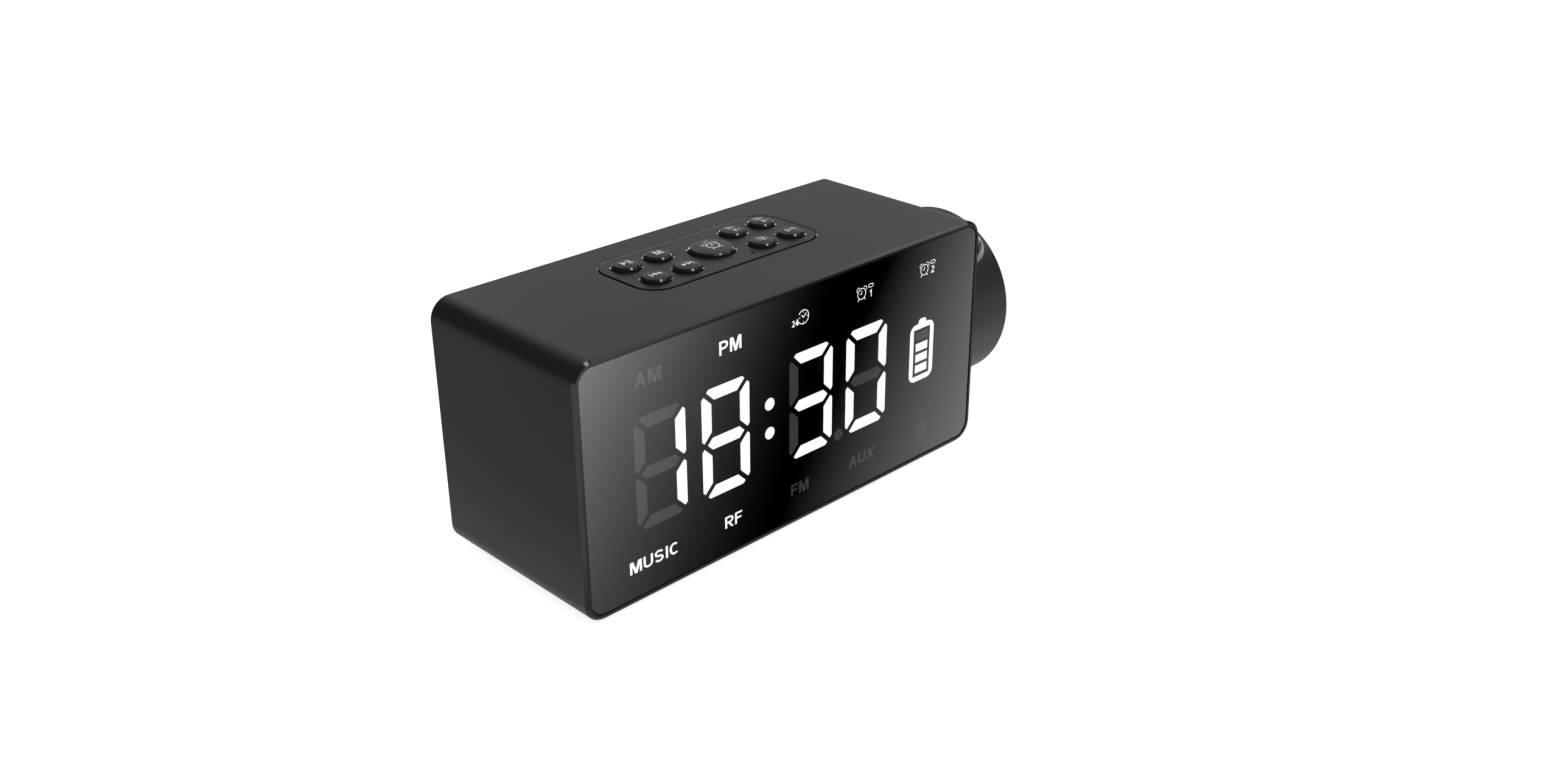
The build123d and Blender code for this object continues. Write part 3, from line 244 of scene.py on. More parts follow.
def platedMetal(name, look):
    # Rolled or turned marks stretch the grain one way and vary the roughness
    material, tree, shader, place = startMaterial(name)
    marks = addNode(
        tree,
        "ShaderNodeMapping",
        inputs={"Vector": place, "Scale": [1 / (size * mm) for size in look["marks"]]},
    ).outputs["Vector"]
    grain = addNode(
        tree,
        "ShaderNodeTexNoise",
        inputs={"Vector": marks, "Scale": 1.0, "Detail": metalMarks["detail"]},
    ).outputs["Fac"]
    gloss = addNode(
        tree,
        "ShaderNodeMapRange",
        inputs={
            "Value": grain,
            "To Min": look["roughness"] * (1 - metalMarks["unevenness"]),
            "To Max": look["roughness"] * (1 + metalMarks["unevenness"]),
        },
    ).outputs["Result"]
    relief = addNode(
        tree, "ShaderNodeBump", inputs={"Height": grain, "Distance": look["depth"] * mm, "Strength": 1.0}
    ).outputs["Normal"]
    shader.inputs["Base Color"].default_value = linear(look["colour"])
    shader.inputs["Metallic"].default_value = 1.0
    tree.links.new(gloss, shader.inputs["Roughness"])
    tree.links.new(relief, shader.inputs["Normal"])
    return material


metalLooks = {
    # Bright zinc on steel screws, washer and loudspeaker frames
    "zincSteel": {"colour": "#b9bbbd", "roughness": 0.35, "marks": (2, 0.3, 0.3), "depth": 0.004},
    # Tinned steel of the sockets' folded shells
    "tinnedSteel": {"colour": "#c6c6c4", "roughness": 0.28, "marks": (0.3, 3, 0.3), "depth": 0.003},
    # Satin nickel plating of the lens ring, with a fine even grain
    "satinNickel": {"colour": "#a9a9a9", "roughness": 0.3, "marks": (0.4, 0.4, 0.4), "depth": 0.003},
}
metals = {name: platedMetal(name, look) for name, look in metalLooks.items()}


def solderMask():
    # Green lacquer over copper: the tracks show as slightly raised, lighter lines
    look = {
        "field": "#0d3a22", "track": "#1c5a36", "cell": 2.2, "trackShare": 0.07,
        "trackHeight": 0.03, "roughness": 0.3,
    }
    material, tree, shader, place = startMaterial("solderMask")
    cells = addNode(
        tree,
        "ShaderNodeTexVoronoi",
        {"feature": "DISTANCE_TO_EDGE"},
        {"Vector": place, "Scale": 1 / (look["cell"] * mm)},
    ).outputs["Distance"]
    track = addNode(
        tree,
        "ShaderNodeMapRange",
        inputs={
            "Value": cells,
            "From Min": look["trackShare"],
            "From Max": 0,
            "To Min": 0,
            "To Max": 1,
        },
    ).outputs["Result"]
    tone = addNode(
        tree,
        "ShaderNodeMix",
        {"data_type": "RGBA"},
        {0: track, 6: linear(look["field"]), 7: linear(look["track"])},
    ).outputs[2]
    relief = addNode(
        tree,
        "ShaderNodeBump",
        inputs={"Height": track, "Distance": look["trackHeight"] * mm, "Strength": 1.0},
    ).outputs["Normal"]
    tree.links.new(tone, shader.inputs["Base Color"])
    tree.links.new(relief, shader.inputs["Normal"])
    shader.inputs["Roughness"].default_value = look["roughness"]
    return material


def smokedAcrylic():
    # Cast acrylic with a polished hard coat: its grey dye lets only lit segments through
    look = {
        "clear": "#f4f4f4", "dye": "#3a3a3b", "density": 900, "ior": 1.49,
        "roughness": 0.02, "haze": 40, "spread": 0.01, "coatIor": 2.2, "coatRoughness": 0.03,
    }
    material, tree, shader, place = startMaterial("smokedAcrylic")
    haze = addNode(
        tree, "ShaderNodeTexNoise", inputs={"Vector": place, "Scale": 1 / (look["haze"] * mm)}
    ).outputs["Fac"]
    gloss = addNode(
        tree,
        "ShaderNodeMapRange",
        inputs={
            "Value": haze,
            "To Min": look["roughness"] - look["spread"],
            "To Max": look["roughness"] + look["spread"],
        },
    ).outputs["Result"]
    tree.links.new(gloss, shader.inputs["Roughness"])
    shader.inputs["Base Color"].default_value = linear(look["clear"])
    shader.inputs["Transmission Weight"].default_value = 1.0
    shader.inputs["IOR"].default_value = look["ior"]
    dye = addNode(
        tree,
        "ShaderNodeVolumeAbsorption",
        inputs={"Color": linear(look["dye"]), "Density": look["density"]},
    ).outputs["Volume"]
    output = next(node for node in tree.nodes if node.type == "OUTPUT_MATERIAL")
    tree.links.new(dye, output.inputs["Volume"])
    shader.inputs["Coat Weight"].default_value = 1.0
    shader.inputs["Coat Roughness"].default_value = look["coatRoughness"]
    shader.inputs["Coat IOR"].default_value = look["coatIor"]
    return material


def lensGlass(name, look):
    # Clear and polished, with a faint haze that drifts over the surface
    material, tree, shader, place = startMaterial(name)
    haze = addNode(
        tree, "ShaderNodeTexNoise", inputs={"Vector": place, "Scale": 1 / (look["haze"] * mm)}
    ).outputs["Fac"]
    gloss = addNode(
        tree,
        "ShaderNodeMapRange",
        inputs={"Value": haze, "To Min": look["smoothest"], "To Max": look["roughness"]},
    ).outputs["Result"]
    tree.links.new(gloss, shader.inputs["Roughness"])
    shader.inputs["Base Color"].default_value = linear(look["tint"])
    shader.inputs["Transmission Weight"].default_value = look["clear"]
    shader.inputs["IOR"].default_value = look["ior"]
    return material


def milkyDiffuser(name, look):
    # Milky styrene that glows, a touch uneven between the lamps: lamps behind it light the lit segments,
    # and the faint glow of unlit ones is painted
    material, tree, shader, place = startMaterial(name)
    patches = addNode(
        tree, "ShaderNodeTexNoise", inputs={"Vector": place, "Scale": 1 / (look["patch"] * mm)}
    ).outputs["Fac"]
    strength = addNode(
        tree,
        "ShaderNodeMapRange",
        inputs={
            "Value": patches,
            "To Min": look["strength"] * (1 - look["unevenness"]),
            "To Max": look["strength"],
        },
    ).outputs["Result"]
    tree.links.new(strength, shader.inputs["Emission Strength"])
    shader.inputs["Emission Color"].default_value = linear(look["glow"])
    shader.inputs["Base Color"].default_value = linear(look["colour"])
    return material


boardLacquer = solderMask()
windowAcrylic = smokedAcrylic()
litWhite = milkyDiffuser(
    "litDiffuser",
    {"colour": "#e6e6e6", "glow": "#ffffff", "strength": 13.0, "unevenness": 0.06, "patch": 4},
)
# Unlit diffusers get a faint painted glow that stands in for stray light from their lit neighbours
unlitPaintedGlow = milkyDiffuser(
    "unlitDiffuserPaintedGlow",
    {"colour": "#8c8c8a", "glow": "#ffffff", "strength": 0.52, "unevenness": 0.1, "patch": 9},
)
opticGlass = lensGlass(
    "opticGlass",
    {"tint": "#e9f0f0", "smoothest": 0.01, "roughness": 0.03, "haze": 5, "clear": 1.0, "ior": 1.52},
)
imageFilm = lensGlass(
    "imageFilm",
    {"tint": "#3c3c44", "smoothest": 0.01, "roughness": 0.1, "haze": 2, "clear": 0.4, "ior": 1.5},
)

keyNames = ["play", "mode", "previous", "next", "volume_up", "volume_down", "light", "link", "snooze"]
finishes = [
    (plastics["sleeveAbs"], ["housing"]),
    (plastics["satinAbs"], ["rear_cover", "battery_holder"]),
    (plastics["fineSatinAbs"], ["projector_drum", "projector_base", "hub_retainer", "lens_barrel"]),
    (plastics["polishedAbs"], [f"{name}_key" for name in keyNames]),
    (plastics["acetal"], [f"{name}_plunger" for name in keyNames]),
    (plastics["blackStyrene"], ["display_mask"]),
    (plastics["blackNylon"], ["key_switches", "audio_socket", "microphone"]),
    (plastics["mouldedEpoxy"], ["board_components"]),
    (plastics["siliconeRubber"], ["rubber_feet"]),
    (plastics["shrinkSleeve"], ["battery_cell"]),
    (plastics["redPvc"], ["wire_leads", "projector_lead"]),
    (plastics["flatCable"], ["ribbon_cables"]),
    (plastics["ferrite"], ["speaker_magnets"]),
    (plastics["pressedPaper"], ["speaker_cones"]),
    (plastics["ledPhosphor"], ["display_leds", "projector_led"]),
    # Unlit segments carry the faint painted glow
    (unlitPaintedGlow, ["dim_segments"]),
    (metals["zincSteel"], ["rear_cover_screws", "speaker_screws", "board_screws", "projector_screws"]),
    (metals["zincSteel"], ["wave_washer", "speaker_frames"]),
    (metals["tinnedSteel"], ["usb_socket", "card_slot"]),
    (metals["satinNickel"], ["lens_bezel"]),
    (boardLacquer, ["display_board", "key_board", "main_board", "projector_board"]),
    (windowAcrylic, ["front_window"]),
    (litWhite, ["lit_segments"]),
    (opticGlass, ["projector_lens", "condenser_lens"]),
    (imageFilm, ["image_panel"]),
]
for material, names in finishes:
    for name in names:
        nodes[name].material_slots[0].material = material
print("finishes on", sum(len(names) for material, names in finishes), "of", len(nodes), "CAD nodes")


# Flat drawing, in millimetres: x runs right and y runs up
mergeReach = 0.001


def addPolygon(bm, points):
    bm.faces.new([bm.verts.new((x, y, 0)) for x, y in points])


def addBar(bm, start, end, width):
    start, end = Vector(start), Vector(end)
    side = (end - start).orthogonal().normalized() * width / 2
    addPolygon(bm, [start - side, end - side, end + side, start + side])


def arcPoints(centre, radiusX, radiusY, start, turn, steps=24):
    angles = [radians(start + turn * step / steps) for step in range(steps + 1)]
    return [(centre[0] + radiusX * cos(angle), centre[1] + radiusY * sin(angle)) for angle in angles]


def addStroke(bm, points, width):
    # A ribbon along a line, with mitred corners
    points = [Vector(point) for point in points]
    runs = [(end - start).normalized() for start, end in zip(points, points[1:])]
    sides = []
    for point, before, after in zip(points, runs[:1] + runs, runs + runs[-1:]):
        reach = (before.orthogonal() + after.orthogonal()) * width / 2 / (1 + before.dot(after))
        sides.append((bm.verts.new((point - reach).to_3d()), bm.verts.new((point + reach).to_3d())))
    for (startLow, startHigh), (endLow, endHigh) in zip(sides, sides[1:]):
        bm.faces.new((startLow, endLow, endHigh, startHigh))


def addArc(bm, centre, radius, width, start=0, turn=360, steps=32):
    along = Vector((cos(radians(start)), sin(radians(start))))
    reaches = (radius - width / 2, radius + width / 2)
    ends = [bm.verts.new((Vector(centre) + along * reach).to_3d()) for reach in reaches]
    bmesh.ops.spin(
        bm,
        geom=ends + [bm.edges.new(ends)],
        cent=Vector(centre).to_3d(),
        axis=(0, 0, 1),
        angle=radians(turn),
        steps=steps,
        use_merge=turn == 360,
    )


def addTicks(bm, centre, turns, reach, width):
    # Short bars that point away from a centre
    for turn in turns:
        along = Vector((cos(radians(turn)), sin(radians(turn))))
        addBar(bm, Vector(centre) + along * reach[0], Vector(centre) + along * reach[1], width)


def addDisc(bm, centre, radius, segments):
    spot = Matrix.Translation(Vector(centre).to_3d())
    bmesh.ops.create_circle(bm, cap_ends=True, radius=radius, segments=segments, matrix=spot)


lettering = {
    "widths": {
        "A": 0.74, "C": 0.72, "F": 0.6, "I": 0.2, "M": 0.86, "P": 0.66, "R": 0.7, "S": 0.66, "U": 0.7,
        "V": 0.72, "X": 0.72, "z": 0.62, "1": 0.36, "2": 0.58, "4": 0.62,
    },
    "stroke": 0.16,
    "gap": 0.13,
    "slant": 0.09,  # half the level width of a slanting stroke
    "waist": 0.47,  # where the bowl of a P or R closes
}


def addSlant(bm, start, end):  # a slanting stroke with level ends
    half = lettering["slant"]
    foot = [(start[0] - half, start[1]), (start[0] + half, start[1])]
    head = [(end[0] + half, end[1]), (end[0] - half, end[1])]
    addPolygon(bm, foot + head)


def addLetter(bm, letter):
    # Grotesque letters of one stroke width, in a box of height 1 that starts at the origin
    width = lettering["widths"][letter]
    stroke, slant, waist = lettering["stroke"], lettering["slant"], lettering["waist"]
    h = stroke / 2
    right, top, middle = width - h, 1 - h, width / 2
    bowl = (top - waist) / 2
    bowlArc = arcPoints((right - bowl, top - bowl), bowl, bowl, 90, -180, 12)
    if letter in "FPRU":
        addBar(bm, (h, middle if letter == "U" else 0), (h, 1), stroke)
    if letter == "F":
        addBar(bm, (stroke, top), (width, top), stroke)
        addBar(bm, (stroke, 0.5), (width * 0.9, 0.5), stroke)
    if letter in "PR":
        addStroke(bm, [(stroke, top), *bowlArc, (stroke, waist)], stroke)
    if letter == "R":
        addSlant(bm, (middle, 0.4), (width - slant, 0))
    if letter == "U":
        addStroke(bm, arcPoints((middle, middle), middle - h, middle - h, 180, 180), stroke)
        addBar(bm, (right, middle), (right, 1), stroke)
    if letter in "AV":
        foot, head = (0, 1) if letter == "A" else (1, 0)
        for side in (slant, width - slant):
            addSlant(bm, (side, foot), (middle, head))
    if letter == "A":
        addBar(bm, (width * 0.28, 0.3), (width * 0.72, 0.3), stroke * 0.9)
    if letter == "X":
        addSlant(bm, (slant, 0), (width - slant, 1))
        addSlant(bm, (width - slant, 0), (slant, 1))
    if letter == "M":
        for side in (h, right):
            addBar(bm, (side, 0), (side, 1), stroke)
            addSlant(bm, (stroke if side == h else width - stroke, 1), (middle, 0))
    if letter in "I1":
        addBar(bm, (right, 0), (right, 1), stroke)
    if letter == "1":
        addBar(bm, (0, 0.72), (right, 0.86), stroke * 0.9)
    if letter == "C":
        addStroke(bm, arcPoints((middle, 0.5), middle - h, 0.5 - h, 48, 264), stroke)
    if letter == "S":
        rise = (0.5 - h) / 2
        upper = arcPoints((middle, 0.5 + rise), middle - h, rise, 20, 250)
        lower = arcPoints((middle, 0.5 - rise), middle - h, rise, 90, -250)
        addStroke(bm, upper + lower[1:], stroke)
    if letter == "2":
        hook = arcPoints((middle, top - middle + h), middle - h, middle - h, 165, -200)
        addStroke(bm, hook + [(h, h), (width, h)], stroke)
    if letter == "4":
        addBar(bm, (width * 0.7, 0), (width * 0.7, 1), stroke)
        addBar(bm, (0, 0.28), (width, 0.28), stroke)
        addSlant(bm, (slant, 0.28), (width * 0.7 - h, 1))
    if letter == "z":
        addBar(bm, (0, h), (width, h), stroke)
        addBar(bm, (0, top), (width, top), stroke)
        addSlant(bm, (slant, h), (width - slant, top))


def addWords(bm, words, middle, height, width):
    # Letters in a row, fitted to a height and a width
    line = bmesh.new()
    reach = 0
    for letter in words:
        glyph = bmesh.new()
        addLetter(glyph, letter)
        bmesh.ops.translate(glyph, verts=glyph.verts[:], vec=(reach, 0, 0))
        appendMesh(line, glyph)
        reach += lettering["widths"][letter] + lettering["gap"]
    reach -= lettering["gap"]
    fit = Matrix.Diagonal((width / reach, height, 1, 1))
    spot = Matrix.Translation((middle[0] - width / 2, middle[1] - height / 2, 0))
    bmesh.ops.transform(line, matrix=spot @ fit, verts=line.verts[:])
    appendMesh(bm, line)


def appendMesh(bm, added):
    mesh = bpy.data.meshes.new("part")
    added.to_mesh(mesh)
    added.free()
    bm.from_mesh(mesh)
    bpy.data.meshes.remove(mesh)


def makePiece(bm, name, body, material):
    mesh = bpy.data.meshes.new(name)
    bm.to_mesh(mesh)
    bm.free()
    mesh.materials.append(material)
    piece = bpy.data.objects.new(name, mesh)
    scene.collection.objects.link(piece)
    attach(piece, body)
    return piece


alarmShape = {  # shares of the dial's radius and of its stroke
    "bell": 0.45, "bellStroke": 0.85, "bellSide": 0.8, "bellRise": 0.82, "bellTurn": 45,
    "footTop": (0.66, 0.83), "footEnd": (0.95, 1.25),
    "minuteHand": 0.62, "hourHand": 0.48, "handStroke": 0.9,
}


def addAlarm(bm, centre, size, stroke):
    # Twin-bell clock: ring, two bells, two feet and hands at nine o'clock
    x, y = centre
    bell, bellStroke = alarmShape["bell"] * size, alarmShape["bellStroke"] * stroke
    addArc(bm, centre, size, stroke)
    for side in (-1, 1):
        hub = (x + side * alarmShape["bellSide"] * size, y + alarmShape["bellRise"] * size)
        addArc(bm, hub, bell, bellStroke, -side * alarmShape["bellTurn"], 180, 10)
        foot = [
            (x + side * across * size, y - down * size)
            for across, down in (alarmShape["footTop"], alarmShape["footEnd"])
        ]
        addBar(bm, *foot, stroke)
    minuteEnd = (x, y + alarmShape["minuteHand"] * size)
    hourEnd = (x - alarmShape["hourHand"] * size, y)
    addStroke(bm, [minuteEnd, (x, y), hourEnd], stroke * alarmShape["handStroke"])


def addRoundedRing(bm, centre, width, height, stroke):
    # A small lying oval: two half rings joined by two bars
    x, y = centre
    radius = (height - stroke) / 2
    half = (width - height) / 2
    addArc(bm, (x - half, y), radius, stroke, 90, 180, 10)
    addArc(bm, (x + half, y), radius, stroke, -90, 180, 10)
    for rise in (-radius, radius):
        addBar(bm, (x - half, y + rise), (x + half, y + rise), stroke)


displayText = {
    "rows": {"top": (70.86, 4.46), "bottom": (11.45, 4.1)},  # height of the middle, and of the letters
    "lit": [  # words, row, middle and width
        ("PM", "top", -28.1, 9.0), ("MUSIC", "bottom", -60.2, 19.2), ("RF", "bottom", -27.95, 7.2)
    ],
    "unlit": [("AM", "top", -60.0, 9.8), ("FM", "bottom", 1.5, 8.0), ("AUX", "bottom", 31.2, 12.4)],
    "thickness": 0.05, "behindWindow": 0.02,
}


def addRow(bm, entries):
    for words, row, x, width in entries:
        rise, height = displayText["rows"][row]
        addWords(bm, words, (x, rise), height, width)


def placeOnDisplay(bm):
    # Thin film on the light mask's front, behind the window
    bmesh.ops.remove_doubles(bm, verts=bm.verts[:], dist=mergeReach)
    raised = bmesh.ops.extrude_face_region(bm, geom=bm.faces[:])
    lifted = [item for item in raised["geom"] if isinstance(item, bmesh.types.BMVert)]
    bmesh.ops.translate(bm, verts=lifted, vec=(0, 0, displayText["thickness"]))
    bmesh.ops.recalc_face_normals(bm, faces=bm.faces[:])
    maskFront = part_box("display_mask")[0].y
    start = (housingMiddle.x, maskFront - displayText["behindWindow"] * mm, housingLow.z)
    upright = Matrix.Translation(start) @ Matrix.Rotation(radians(90), 4, "X") @ Matrix.Scale(mm, 4)
    bmesh.ops.transform(bm, matrix=upright, verts=bm.verts[:])


dayMark = {  # 24-hour mark: a dial open at its lower left, with the numerals beside it
    "x": 2.75, "radius": 2.3, "stroke": 0.3, "open": (-150, 300),
    "tick": (1.45, 1.95), "tickWidth": 0.25,
    "hands": [((-0.85, 0.75), (0, -0.15)), ((-0.1, -0.25), (1.2, 1.05))],
    "numerals": (-3.55, -1.15), "numeralSize": (2.1, 2.9),
}


def addDayMark(bm, rise):
    dial = Vector((dayMark["x"], rise))
    addArc(bm, dial, dayMark["radius"], dayMark["stroke"], *dayMark["open"])
    addTicks(bm, dial, range(0, 360, 90), dayMark["tick"], dayMark["tickWidth"])
    for start, end in dayMark["hands"]:
        addBar(bm, dial + Vector(start), dial + Vector(end), dayMark["stroke"])
    addWords(bm, "24", dial + Vector(dayMark["numerals"]), *dayMark["numeralSize"])


alarmMark = {
    "places": {"1": 29.4, "2": 60.3}, "lift": 0.1, "radius": 1.85, "stroke": 0.28,
    "ring": (4.3, 1.9), "ringSize": (2.5, 1.35), "ringStroke": 0.26,
    "numeral": (4.3, -0.75), "numeralHeight": 2.5, "numeralWidths": {"1": 0.9, "2": 1.5},
}


def addAlarmMark(bm, number, rise):
    # The alarm, a small ring and the alarm's number
    place = Vector((alarmMark["places"][number], rise))
    addAlarm(bm, (place.x, rise + alarmMark["lift"]), alarmMark["radius"], alarmMark["stroke"])
    addRoundedRing(
        bm, place + Vector(alarmMark["ring"]), *alarmMark["ringSize"], alarmMark["ringStroke"]
    )
    numeral, width = place + Vector(alarmMark["numeral"]), alarmMark["numeralWidths"][number]
    addWords(bm, number, numeral, alarmMark["numeralHeight"], width)


cardMark = {
    "x": 62.1, "half": 1.9, "corner": 1.0, "stroke": 0.45,
    "contacts": (-1.15, -0.3, 0.55), "contact": (0.5, 1.3), "contactWidth": 0.4,
}


def addCardMark(bm, rise, height):
    # Memory card: an outline with a cut corner and three contacts
    middle = Vector((cardMark["x"], rise))
    half, top, corner = cardMark["half"], height / 2, cardMark["corner"]
    outline = [(-half, -top), (half, -top), (half, top - corner), (half - corner, top), (-half, top)]
    for start, end in zip(outline, outline[1:] + outline[:1]):
        addBar(bm, middle + Vector(start), middle + Vector(end), cardMark["stroke"])
    for x in cardMark["contacts"]:
        start, end = [middle + Vector((x, y)) for y in cardMark["contact"]]
        addBar(bm, start, end, cardMark["contactWidth"])


def makeLitLabels():
    bm = bmesh.new()
    rise = displayText["rows"]["top"][0]
    addRow(bm, displayText["lit"])
    addDayMark(bm, rise)
    for number in alarmMark["places"]:
        addAlarmMark(bm, number, rise)
    placeOnDisplay(bm)
    makePiece(bm, "litLabels", "case", litWhite)


def makeUnlitLabels():
    bm = bmesh.new()
    addRow(bm, displayText["unlit"])
    addCardMark(bm, *displayText["rows"]["bottom"])
    placeOnDisplay(bm)
    # The unlit labels carry the same faint painted glow
    makePiece(bm, "unlitLabels", "case", unlitPaintedGlow)


makeLitLabels()
makeUnlitLabels()
print("display labels made")

inkSettings = {"thickness": 0.03, "lift": 0.01, "cell": 0.35}


def printOnKey(bm, name):
    # The flat drawing is cut fine, dropped onto the button's dome and thickened to a film of ink
    keyNode = nodes[f"{name}_key"]
    low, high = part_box(f"{name}_key")
    middle = (low + high) / 2
    bmesh.ops.remove_doubles(bm, verts=bm.verts[:], dist=mergeReach)
    reach = max(max(abs(vert.co.x), abs(vert.co.y)) for vert in bm.verts)
    cuts = int(reach / inkSettings["cell"])
    for across in ((1, 0, 0), (0, 1, 0)):
        for step in range(-cuts, cuts + 1):
            spot = Vector(across) * step * inkSettings["cell"]
            drawing = bm.verts[:] + bm.edges[:] + bm.faces[:]
            bmesh.ops.bisect_plane(bm, geom=drawing, plane_co=spot, plane_no=across)
    for face in bm.faces:
        face.normal_update()
        if face.normal.z < 0:
            face.normal_flip()
    spot = Matrix.Translation((middle.x, middle.y, 0)) @ Matrix.Scale(mm, 4)
    bmesh.ops.transform(bm, matrix=spot, verts=bm.verts[:])
    for vert in bm.verts:
        above = Vector((vert.co.x, vert.co.y, high.z + mm))
        touch = keyNode.ray_cast(above, Vector((0, 0, -1)))[1]
        vert.co.z = touch.z + (inkSettings["lift"] + inkSettings["thickness"]) * mm
    raised = bmesh.ops.extrude_face_region(bm, geom=bm.faces[:])
    lowered = [item for item in raised["geom"] if isinstance(item, bmesh.types.BMVert)]
    bmesh.ops.translate(bm, verts=lowered, vec=(0, 0, -inkSettings["thickness"] * mm))
    bmesh.ops.recalc_face_normals(bm, faces=bm.faces[:])
    makePiece(bm, f"{name}Print", f"{name}_button", plastics["whiteInk"])


def addTriangle(bm, x, width, height):  # points right for a positive width
    addPolygon(bm, [(x, -height / 2), (x + width, 0), (x, height / 2)])


playPrint = {"triangle": (-1.9, 1.9, 3.0), "bars": (0.65, 1.6), "barRise": 1.6, "barWidth": 0.5}


def drawPlay(bm):
    rise = playPrint["barRise"]
    addTriangle(bm, *playPrint["triangle"])
    for x in playPrint["bars"]:
        addBar(bm, (x, -rise), (x, rise), playPrint["barWidth"])


skipPrint = {
    "triangles": (-2.05, -0.15), "width": 1.8, "height": 2.2,
    "bar": 1.95, "barRise": 1.15, "barWidth": 0.45,
}


def drawSkip(bm, way):
    x, rise = way * skipPrint["bar"], skipPrint["barRise"]
    for start in skipPrint["triangles"]:
        addTriangle(bm, way * start, way * skipPrint["width"], skipPrint["height"])
    addBar(bm, (x, -rise), (x, rise), skipPrint["barWidth"])


volumePrint = {
    "alarm": (-0.55, 1.15), "alarmRadius": 0.95, "alarmStroke": 0.26,
    "numeral": (1.35, 1.15), "numeralHeight": 1.5, "numeralWidths": {"1": 0.55, "2": 0.85},
    "letter": (-0.35, -1.7), "letterSize": (1.9, 1.6),
    "sign": (1.25, -1.7), "signReach": 0.5, "signStroke": 0.3,
}


def drawVolume(bm, sign, number):
    # An alarm and its number above a letter V with a plus or minus sign
    addAlarm(bm, volumePrint["alarm"], volumePrint["alarmRadius"], volumePrint["alarmStroke"])
    width = volumePrint["numeralWidths"][number]
    addWords(bm, number, volumePrint["numeral"], volumePrint["numeralHeight"], width)
    addWords(bm, "V", volumePrint["letter"], *volumePrint["letterSize"])
    (x, y), reach = volumePrint["sign"], volumePrint["signReach"]
    addBar(bm, (x - reach, y), (x + reach, y), volumePrint["signStroke"])
    if sign > 0:
        addBar(bm, (x, y - reach), (x, y + reach), volumePrint["signStroke"])


lightPrint = {
    "middle": (0, 0.25), "bulb": 0.95, "stroke": 0.3, "open": (-60, 300), "glow": 0.42,
    "cap": [(-0.95, 0.45, 0.32), (-1.4, 0.35, 0.3)],  # height, half width and stroke
    "rays": range(-30, 211, 40), "ray": (1.5, 2.15), "rayWidth": 0.3,
}


def drawLight(bm):
    # A bulb with rays round it
    middle, glow = lightPrint["middle"], lightPrint["glow"]
    addArc(bm, middle, lightPrint["bulb"], lightPrint["stroke"], *lightPrint["open"])
    for y, half, stroke in lightPrint["cap"]:
        addBar(bm, (-half, y), (half, y), stroke)
    addArc(bm, middle, glow, glow, -90, 180, 10)
    addTicks(bm, middle, lightPrint["rays"], lightPrint["ray"], lightPrint["rayWidth"])


linkPrint = {"dot": 0.42, "waves": (1.15, 1.95), "stroke": 0.34, "spread": 42}


def drawLink(bm):
    # Radio waves to both sides of a dot
    spread = linkPrint["spread"]
    addDisc(bm, (0, 0), linkPrint["dot"], 16)
    for side in (0, 180):
        for radius in linkPrint["waves"]:
            addArc(bm, (0, 0), radius, linkPrint["stroke"], side - spread, 2 * spread, 10)


snoozePrint = {
    "dial": (0.2, -0.5), "radius": 2.25, "stroke": 0.42, "tick": (1.75, 2.1), "tickWidth": 0.24,
    "letters": [((0.1, 3.4), 1.1, 1.0), ((1.6, 4.1), 0.9, 0.8)],  # middle, height and width
}


def drawSnooze(bm):
    # Twin-bell clock with hour ticks, and two letters z above it
    addAlarm(bm, snoozePrint["dial"], snoozePrint["radius"], snoozePrint["stroke"])
    addTicks(
        bm, snoozePrint["dial"], range(0, 360, 30), snoozePrint["tick"], snoozePrint["tickWidth"]
    )
    for middle, height, width in snoozePrint["letters"]:
        addWords(bm, "z", middle, height, width)


modePrint = {"height": 3.2, "width": 3.0}


def drawMode(bm):
    addWords(bm, "M", (0, 0), modePrint["height"], modePrint["width"])


drawings = {
    "play": drawPlay,
    "mode": drawMode,
    "previous": lambda bm: drawSkip(bm, -1),
    "next": lambda bm: drawSkip(bm, 1),
    "volume_up": lambda bm: drawVolume(bm, 1, "1"),
    "volume_down": lambda bm: drawVolume(bm, -1, "2"),
    "light": drawLight,
    "link": drawLink,
    "snooze": drawSnooze,
}
bpy.context.view_layer.update()
for name, draw in drawings.items():
    drawing = bmesh.new()
    draw(drawing)
    printOnKey(drawing, name)
print("button prints made")

# Studio: a pale floor with a painted reflection that only glossy rays see, an even world, softboxes, and
# cards that only glossy surfaces see
studio = {
    "floorSize": 6.0,
    "floorColour": "#f4f4f4",
    "floorRoughness": 0.9,
    "mirroredColour": "#fffefb",
    "floorLift": 0.75,  # how much of the floor's white the camera sees without light
    "worldLight": 0.68,
    "reflectedDark": 0.024,
    # Direction, level, and the angles at which a card starts to fade and is gone
    "cards": {
        "topCard": {"towards": (0.62, 0.50, 0.60), "level": 0.46, "full": 12, "gone": 50},
        "grooveLeftCard": {"towards": (0.90, 0.42, 0.10), "level": 4.0, "full": 4, "gone": 10},
        "grooveRightCard": {"towards": (0.34, 0.93, 0.09), "level": 5.0, "full": 5, "gone": 11},
        "grooveBackCard": {"towards": (0.69, 0.02, 0.72), "level": 2.0, "full": 10, "gone": 18},
        "lipRightCard": {"towards": (0.75, -0.32, 0.58), "level": 1.6, "full": 2, "gone": 7},
        "lipLeftCard": {"towards": (0.58, -0.40, 0.71), "level": 1.0, "full": 4, "gone": 12},
    },
    "lamps": {
        "lipSoftbox": {
            "towards": (0.154, -0.634, 0.755), "away": 1.0, "size": (0.25, 0.25), "radiance": 9
        },
        "buttonSoftbox": {
            "towards": (-0.06, -0.38, 0.92), "away": 1.0, "size": (0.1, 0.1), "radiance": 32
        },
        "sideSoftbox": {
            "towards": (0.64, -0.68, 0.25), "away": 1.1, "size": (0.5, 0.7), "radiance": 0.4
        },
    },
    "aim": (0, 0, 0.05),
}
